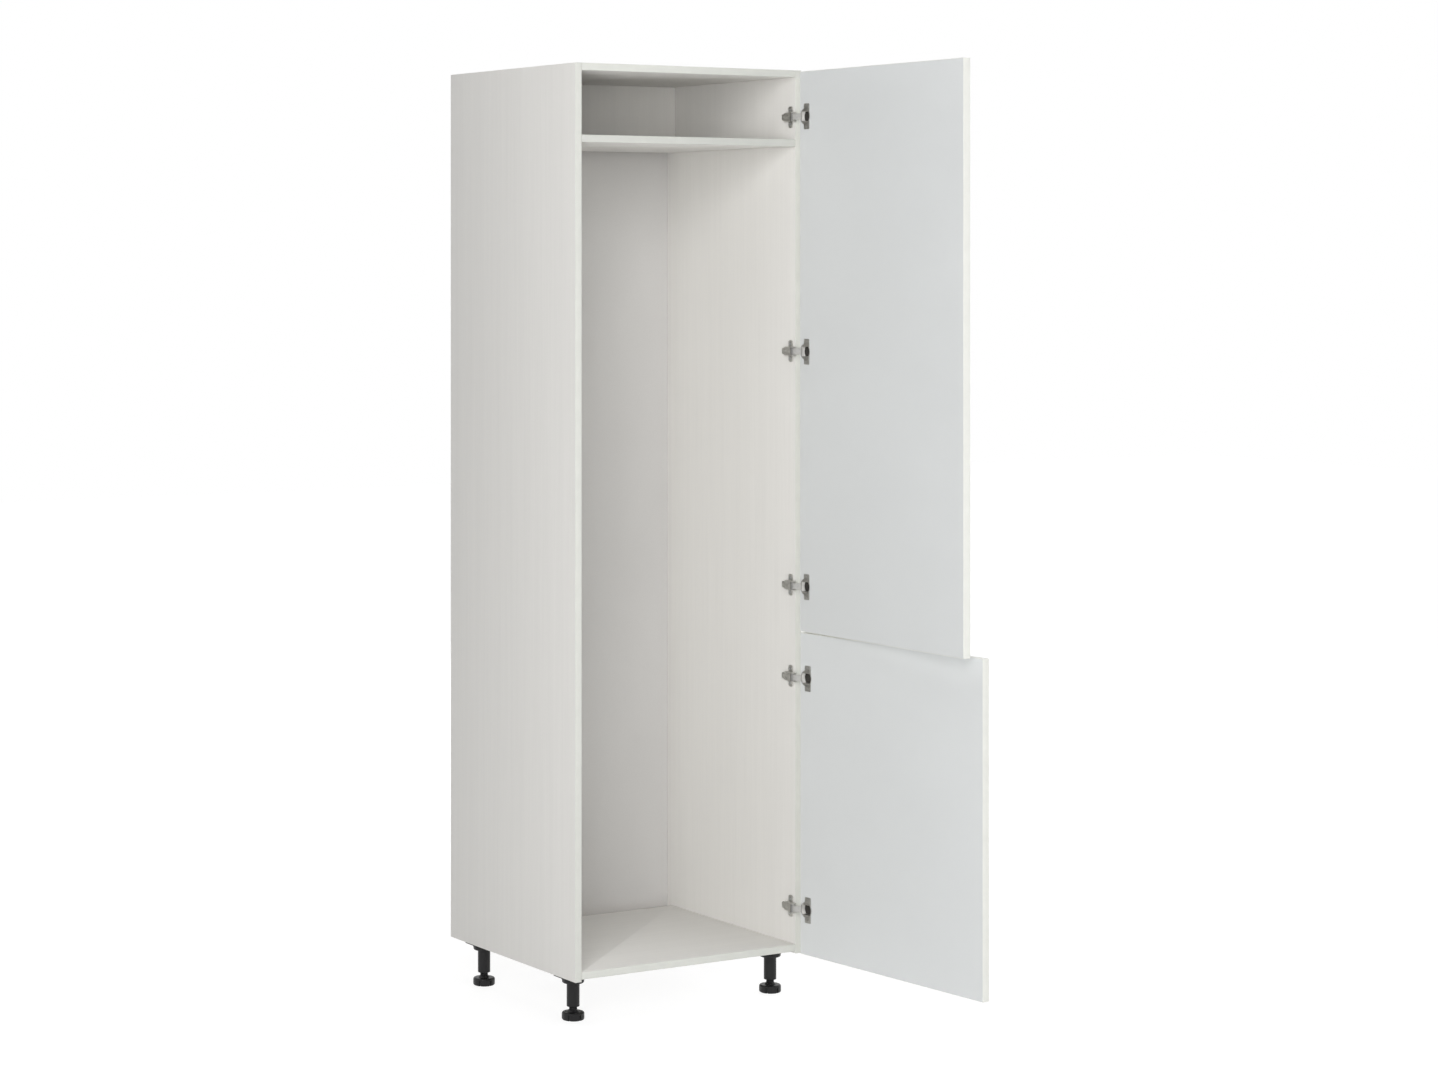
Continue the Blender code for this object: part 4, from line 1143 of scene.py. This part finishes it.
def arm_finish_numbers(skin):
    """Which finish each of the arm's faces has: a dark tone, painted shade, on the cover's bend
    about the pin and on the pin between the cheeks, and nickel everywhere else."""
    middles = face_middles(skin)
    away = np.hypot(middles[:, 0] + PIN_HEIGHT, middles[:, 1] - PIN_FRONT)
    return (away < COVER_RADIUS + COVER_SHEET) & (np.abs(middles[:, 2]) <= COVER_HALF_WIDTH)


def cup_finish_numbers(skin):
    """Which finish each of the cup's faces has, by the place of its middle: a near black, painted
    shade, on the floor and the round beside it, the pale bush on the wall beside the door's edge,
    and nickel everywhere else."""
    middles = face_middles(skin)
    depth = -middles[:, 1]
    away = np.hypot(middles[:, 0], middles[:, 2])
    inside = (away < CUP_MOUTH + CUP_LIP) & (depth < CUP_FLOOR + CUP_LIP)
    # The floor's faces get the near black that paints the shade deep in the cup
    floor = inside & (depth > CUP_FLOOR - CUP_FILLET) & (away < CUP_MOUTH)
    wall = inside & (depth > 0) & (away > CUP_MOUTH - 2 * CUP_LIP) & (middles[:, 0] > 0)
    return np.where(floor, 1, np.where(wall, 2, 0))


def hinge_finishes():
    """The finishes of each part of a hinge."""
    nickel = plated("nickel", colours().nickel)
    # A darker copy of the nickel, with the same gloss: painted shade on the links and cups
    shaded_nickel = plated("dull_nickel", colours().dull_nickel)
    # Painted shade on the cover's bend and the pin between the cheeks
    pin_cover_shade = plated("pin_cover_steel", colours().pin_cover_shade)
    # Painted shade for the cups' floors
    cup_floor_shade = moulded("cup_liner", colours().cup_floor_shade)
    bush = moulded("cup_bush", colours().bush)
    zinc = plated("zinc", colours().zinc, smooth=0.26, rough=0.40)
    return {
        "plate": (nickel,),
        "arm": (nickel, pin_cover_shade),
        "link": (shaded_nickel,),
        "cup": (shaded_nickel, cup_floor_shade, bush),
        "screw": (zinc,),
    }


def hinge_place(number):
    """Where a hinge's plate stands: the side board's inner face, its front edge and its height."""
    low, high = box(f"hinge_{number}_plate")
    inner = box("right_side_panel")[0][0]
    front = box("right_side_edge_band")[0][1]
    return np.array((inner, front, (low[2] + high[2]) / 2))


def hinge_parts(door, spot):
    """Where each part of a hinge goes and the body that it rides on. The link turns by its share
    of what the door turns past square."""
    here = Matrix.Translation(spot)
    past_square = DOOR_OPENINGS[door] - math.radians(90.0)
    turn = Matrix.Rotation(LINK_SQUARE_DIRECTION + LINK_TURN_RATIO * past_square, 4, "Z")
    pin = here @ Matrix.Translation((-PIN_HEIGHT, PIN_FRONT, 0)) @ turn
    cup_spot = (-AXIS_TO_EDGE - CUP_INSET, AXIS_TO_INNER_FACE, spot[2])
    cup = door_turn(door) @ Matrix.Translation(cup_spot)
    return {
        "plate": (here, "carcass"),
        "arm": (here, "carcass"),
        "link": (pin, door + "_hinge_links"),
        "cup": (cup, door + "_door_leaf"),
    }


def build_plate_screws(number, spot, finishes):
    """The two screws of a hinge's plate, their crosses turned by chance-like angles."""
    here = Matrix.Translation(spot)
    for side, word in ((1, "upper"), (-1, "lower")):
        turn = number * PLATE_SCREW_TURN + side * PLATE_SCREW_SIDE_TURN
        screw = screw_skin(SCREW_HEAD_RADIUS, SCREW_LENGTH, turn)
        seat = (-PLATE_SCREW_SEAT, WING_MIDDLE, side * PLATE_SCREW_SPREAD)
        skin = placed(screw, here @ Matrix.Translation(seat) @ OUT_OF_PANEL)
        node = f"hinge_{number}_{word}_screw"
        piece(node + "_head", skin, finishes, "carcass", node)


class CABINET_OT_hinges(bpy.types.Operator):
    """Build the five hinges: mounting plates, arms, links, cups and plate screws"""

    bl_idname = "cabinet.hinges"
    bl_label = "Hinges"

    def execute(self, context):
        finishes = hinge_finishes()
        skins = {
            "plate": plate_skin(),
            "arm": arm_skin(),
            "link": link_skin(),
            "cup": cup_skin(),
        }
        finish_numbers = {
            "arm": arm_finish_numbers(skins["arm"]),
            "cup": cup_finish_numbers(skins["cup"]),
        }
        for door, numbers in DOOR_HINGES.items():
            for number in numbers:
                spot = hinge_place(number)
                for part, (matrix, body) in hinge_parts(door, spot).items():
                    skin = placed(skins[part], matrix)
                    name = f"hinge_{number}_pressed_{part}"
                    node = f"hinge_{number}_{part}"
                    made = piece(name, skin, finishes[part], body, node)
                    if part in finish_numbers:
                        number_finishes(made, finish_numbers[part])
                build_plate_screws(number, spot, finishes["screw"])
        return {"FINISHED"}


# Legs


def socket_skin(inward, low, high):
    """A leg's socket about the leg's axis: the lip plate, the thicker plate beside the side board,
    the collar with its bore, gussets round the collar and four screws."""
    ease = sizes().metal_ease
    outline = rounded(rectangle(low, high), SOCKET_CORNER)
    lip = extruded(outline, SOCKET_LIP_LOW, SOCKET_LIP_TOP, 2 * ease, axis=2)
    side_face = -inward * (AXIS_TO_OUTER_FACE - PANEL_THICKNESS - SHEET_GAP)
    inner_end = inward * SOCKET_REACH
    upper_low = (min(side_face, inner_end) + SOCKET_STEP, low[1] + SOCKET_STEP)
    upper_high = (max(side_face, inner_end) - SOCKET_STEP, high[1] - SOCKET_STEP)
    outline = rounded(rectangle(upper_low, upper_high), SOCKET_CORNER / 3)
    upper = extruded(outline, SOCKET_LIP_TOP - ease, SOCKET_TOP, ease, axis=2)
    collar = (
        (BORE_RADIUS, COLLAR_TOP),
        (BORE_RADIUS, COLLAR_LOW + ease),
        (BORE_RADIUS + ease, COLLAR_LOW),
        (COLLAR_RADIUS - COLLAR_TAPER, COLLAR_LOW),
        (COLLAR_RADIUS - ease, COLLAR_LOW + COLLAR_TAPER - ease),
        (COLLAR_RADIUS, COLLAR_LOW + COLLAR_TAPER + ease),
        (COLLAR_RADIUS, COLLAR_TOP),
    )
    shapes = [lip, upper, turned(collar, LEG_SIDES, wrap=True)]
    gusset = np.array(
        [
            (SOCKET_LIP_LOW + ease, GUSSET_REACH),
            (GUSSET_LOW, COLLAR_RADIUS - ease),
            (COLLAR_TOP, COLLAR_RADIUS - ease),
        ]
    )
    rib = extruded(gusset, -GUSSET_HALF_THICKNESS, GUSSET_HALF_THICKNESS, ease, axis=1)
    for number in range(GUSSETS):
        turn = 2 * math.pi * (number + 0.5) / GUSSETS
        shapes.append(placed(rib, Matrix.Rotation(turn, 4, "Z")))
    for number, (across, along) in enumerate(LEG_SCREWS):
        spot = Matrix.Translation((inward * across, along, LEG_SCREW_SEAT))
        screw = screw_skin(SCREW_HEAD_RADIUS, SCREW_LENGTH, number)
        shapes.append(placed(screw, spot @ DOWNWARDS))
    return joined(*shapes)


def tube_skin(low, high):
    """A leg's tube, hollow for the stem, with eased ends and a shallow ring near its foot."""
    ease = 2 * sizes().metal_ease
    ring = low + 4 * ease
    profile = (
        (TUBE_BORE, high),
        (TUBE_BORE, low + ease),
        (TUBE_BORE + ease, low),
        (TUBE_RADIUS - ease, low),
        (TUBE_RADIUS, low + ease),
        (TUBE_RADIUS, ring),
        (TUBE_RADIUS - ease / 3, ring + ease / 3),
        (TUBE_RADIUS - ease / 3, ring + ease),
        (TUBE_RADIUS, ring + 4 * ease / 3),
        (TUBE_RADIUS, high - ease),
        (TUBE_RADIUS - ease, high),
    )
    return turned(profile, LEG_SIDES, wrap=True)


def foot_skin(high):
    """A foot, its cone-shaped neck and its stem. The foot is a disc with round edges and grip
    notches: its radius drops by the notch's depth near each notch's middle. The stem's radius
    swings by the height and the angle together, as a thread does."""
    angle = np.arange(FOOT_SIDES)[None, :] * (2 * math.pi / FOOT_SIDES)
    sine, cosine = quarter_turn(6)
    notch = (FOOT_NOTCH_TOP - FOOT_NOTCH_FADE, FOOT_NOTCH_TOP, FOOT_NOTCH_TOP + FOOT_NOTCH_FADE)
    high_edge = FOOT_HEIGHT - FOOT_ROUND + FOOT_ROUND * sine
    heights = as_rows(np.concatenate([FOOT_ROUND * (1 - cosine), notch, high_edge]))
    core = FOOT_RADIUS - FOOT_ROUND
    side = np.full(len(notch), FOOT_RADIUS)
    rounds = (core + FOOT_ROUND * sine, side, core + FOOT_ROUND * cosine)
    radii = as_rows(np.concatenate(rounds))
    period = 2 * math.pi / sizes().grips
    away = np.abs((angle - FOOT_FIRST_NOTCH + period / 2) % period - period / 2) * FOOT_RADIUS
    across = 1 - smooth_step(away, FOOT_NOTCH_HALF, FOOT_NOTCH_HALF + FOOT_NOTCH_FLANK)
    below = 1 - smooth_step(heights, notch[0], notch[2])
    neck_top = FOOT_HEIGHT + NECK_HEIGHT
    stem = as_rows(np.linspace(neck_top + NECK_EASE, high - STEM_END, STEM_STATIONS))
    turn = stem / sizes().thread_pitch - angle / (2 * math.pi)
    profile = (
        (radii - sizes().grip_depth * across * below, heights),
        (NECK_RADIUS + NECK_EASE, FOOT_HEIGHT),
        (NECK_RADIUS, FOOT_HEIGHT + NECK_EASE),
        (STEM_RADIUS, neck_top),
        (STEM_RADIUS - THREAD_DEPTH * np.abs(2 * (turn % 1) - 1), stem),
        (STEM_RADIUS - STEM_END, high),
        (STEM_RADIUS - STEM_END_FLAT, high),
    )
    return turned(profile, FOOT_SIDES)


class CABINET_OT_legs(bpy.types.Operator):
    """Build the four levelling legs: sockets, tubes and feet"""

    bl_idname = "cabinet.legs"
    bl_label = "Legs"

    def execute(self, context):
        black = (moulded("black_plastic", colours().plastic),)
        for leg in LEGS:
            low, high = box(f"leg_{leg}_tube")
            axis = np.array(((low[0] + high[0]) / 2, (low[1] + high[1]) / 2, 0))
            here = Matrix.Translation(axis)
            inward = 1 if leg.endswith("left") else -1
            socket_low, socket_high = box(f"leg_{leg}_socket")
            stem_top = box(f"leg_{leg}_foot")[1][2]
            socket = socket_skin(inward, (socket_low - axis)[:2], (socket_high - axis)[:2])
            for part, skin, body in (
                ("socket", socket, "carcass"),
                ("tube", tube_skin(low[2], high[2]), "carcass"),
                ("foot", foot_skin(stem_top), leg + "_foot"),
            ):
                label = f"{leg}_moulded_{part}"
                node = f"leg_{leg}_{part}"
                piece(label, placed(skin, here), black, body, node)
        return {"FINISHED"}


# Studio


def seen_white(tree):
    """One for the camera and for reflections, nothing for all other light."""
    path = add(tree, "ShaderNodeLightPath").outputs
    inputs = {0: path["Is Camera Ray"], 1: path["Is Glossy Ray"]}
    first = add(tree, "ShaderNodeMath", inputs, operation="ADD")
    inputs = {0: first.outputs[0], 1: path["Is Transmission Ray"]}
    return add(tree, "ShaderNodeMath", inputs, operation="ADD", use_clamp=True).outputs[0]


def shared(tree, other_light, seen):
    """The first shader for all other light, the second for the camera and for reflections."""
    inputs = {0: seen_white(tree), 1: other_light.outputs[0], 2: seen.outputs[0]}
    return add(tree, "ShaderNodeMixShader", inputs).outputs[0]


def build_floor(length):
    """The pale floor: plain in other light, and near white where it's seen, with its shadows."""
    half = length / 2
    mesh = bpy.data.meshes.new("studio_floor")
    corners = [(x, y, 0) for x, y in rectangle((-half, -half), (half, half))]
    mesh.from_pydata(corners, [], [(0, 1, 2, 3)])
    material, tree = started("pale_floor")
    tree.nodes.clear()
    plain = add(tree, "ShaderNodeBsdfDiffuse", {"Color": FLOOR_COLOUR})
    faint = add(tree, "ShaderNodeBsdfDiffuse", {"Color": SHADOW_COLOUR})
    away = add(tree, "ShaderNodeVectorMath", {0: place_on(tree)}, operation="LENGTH")
    strength = between(tree, away.outputs["Value"], *GLOW, *GLOW_DISTANCES)
    glow = add(tree, "ShaderNodeEmission", {"Color": WHITE, "Strength": strength})
    both = add(tree, "ShaderNodeAddShader", {0: faint.outputs[0], 1: glow.outputs[0]})
    add(tree, "ShaderNodeOutputMaterial", {"Surface": shared(tree, plain, both)})
    mesh.materials.append(material)
    put_in_scene("studio_floor", mesh)


def build_world(ambient):
    """The surroundings: white where they're seen, faint in other light."""
    world = bpy.data.worlds.new("studio")
    world.use_nodes = True
    tree = world.node_tree
    tree.nodes.clear()
    white = add(tree, "ShaderNodeBackground", {"Color": WHITE, "Strength": 1.0})
    soft = add(tree, "ShaderNodeBackground", {"Color": WHITE, "Strength": ambient})
    add(tree, "ShaderNodeOutputWorld", {"Surface": shared(tree, soft, white)})
    bpy.context.scene.world = world


def build_lamp(name, power, size, place, target):
    """A square lamp that looks at a point."""
    lamp = bpy.data.lights.new(name, "AREA")
    lamp.energy = power
    lamp.shape = "SQUARE"
    lamp.size = size
    made = put_in_scene(name, lamp)
    made.location = place
    made.visible_glossy = False
    made.rotation_euler = (Vector(place) - Vector(target)).to_track_quat("Z", "Y").to_euler()


def build_camera():
    """The photograph's camera: level, its frame shifted off its axis."""
    data = bpy.data.cameras.new("photo_camera")
    data.sensor_width = SENSOR_WIDTH
    data.lens = FOCAL_PIXELS / IMAGE_WIDTH * SENSOR_WIDTH
    data.shift_x = (IMAGE_WIDTH / 2 - CENTRE_COLUMN) / IMAGE_WIDTH
    data.shift_y = (HORIZON_ROW - IMAGE_HEIGHT / 2) / IMAGE_WIDTH
    camera = put_in_scene("photo_camera", data)
    camera.location = CAMERA_PLACE
    camera.rotation_euler = (math.pi / 2, 0, CAMERA_TURN)
    bpy.context.scene.camera = camera


class CABINET_OT_studio(bpy.types.Operator):
    """Set up the pale floor, the lamps and the camera"""

    bl_idname = "cabinet.studio"
    bl_label = "Studio"

    def execute(self, context):
        studio = context.scene.cabinet_studio
        build_floor(studio.floor)
        build_world(studio.ambient)
        for name, size, place, target in LAMPS:
            build_lamp(name + "_lamp", getattr(studio, name), size, place, target)
        build_camera()
        context.scene.view_settings.view_transform = "Standard"
        return {"FINISHED"}


class CABINET_PT_panel(bpy.types.Panel):
    """Lists the cabinet's colours, sizes and building steps"""

    bl_label = "Appliance Housing Cabinet"
    bl_idname = "CABINET_PT_panel"
    bl_space_type = "VIEW_3D"
    bl_region_type = "UI"
    bl_category = "Cabinet"

    def draw(self, context):
        layout = self.layout
        for operator in OPERATORS:
            layout.operator(operator.bl_idname)
        for name in GROUPS:
            group = getattr(context.scene, name)
            section = layout.box()
            for key in group.__annotations__:
                section.prop(group, key)


OPERATORS = (
    CABINET_OT_studio,
    CABINET_OT_boards,
    CABINET_OT_edge_bands,
    CABINET_OT_doors,
    CABINET_OT_hinges,
    CABINET_OT_legs,
)
GROUPS = {
    "cabinet_colours": CabinetColours,
    "cabinet_sizes": CabinetSizes,
    "cabinet_studio": CabinetStudio,
}


def register():
    for name, group in GROUPS.items():
        bpy.utils.register_class(group)
        setattr(bpy.types.Scene, name, PointerProperty(type=group))
    for shown in (*OPERATORS, CABINET_PT_panel):
        bpy.utils.register_class(shown)


def unregister():
    for shown in (CABINET_PT_panel, *reversed(OPERATORS)):
        bpy.utils.unregister_class(shown)
    for name, group in GROUPS.items():
        delattr(bpy.types.Scene, name)
        bpy.utils.unregister_class(group)


def main():
    register()
    bpy.ops.cabinet.studio()
    bpy.ops.cabinet.boards()
    bpy.ops.cabinet.edge_bands()
    bpy.ops.cabinet.doors()
    bpy.ops.cabinet.hinges()
    bpy.ops.cabinet.legs()


if __name__ == "__main__":
    main()
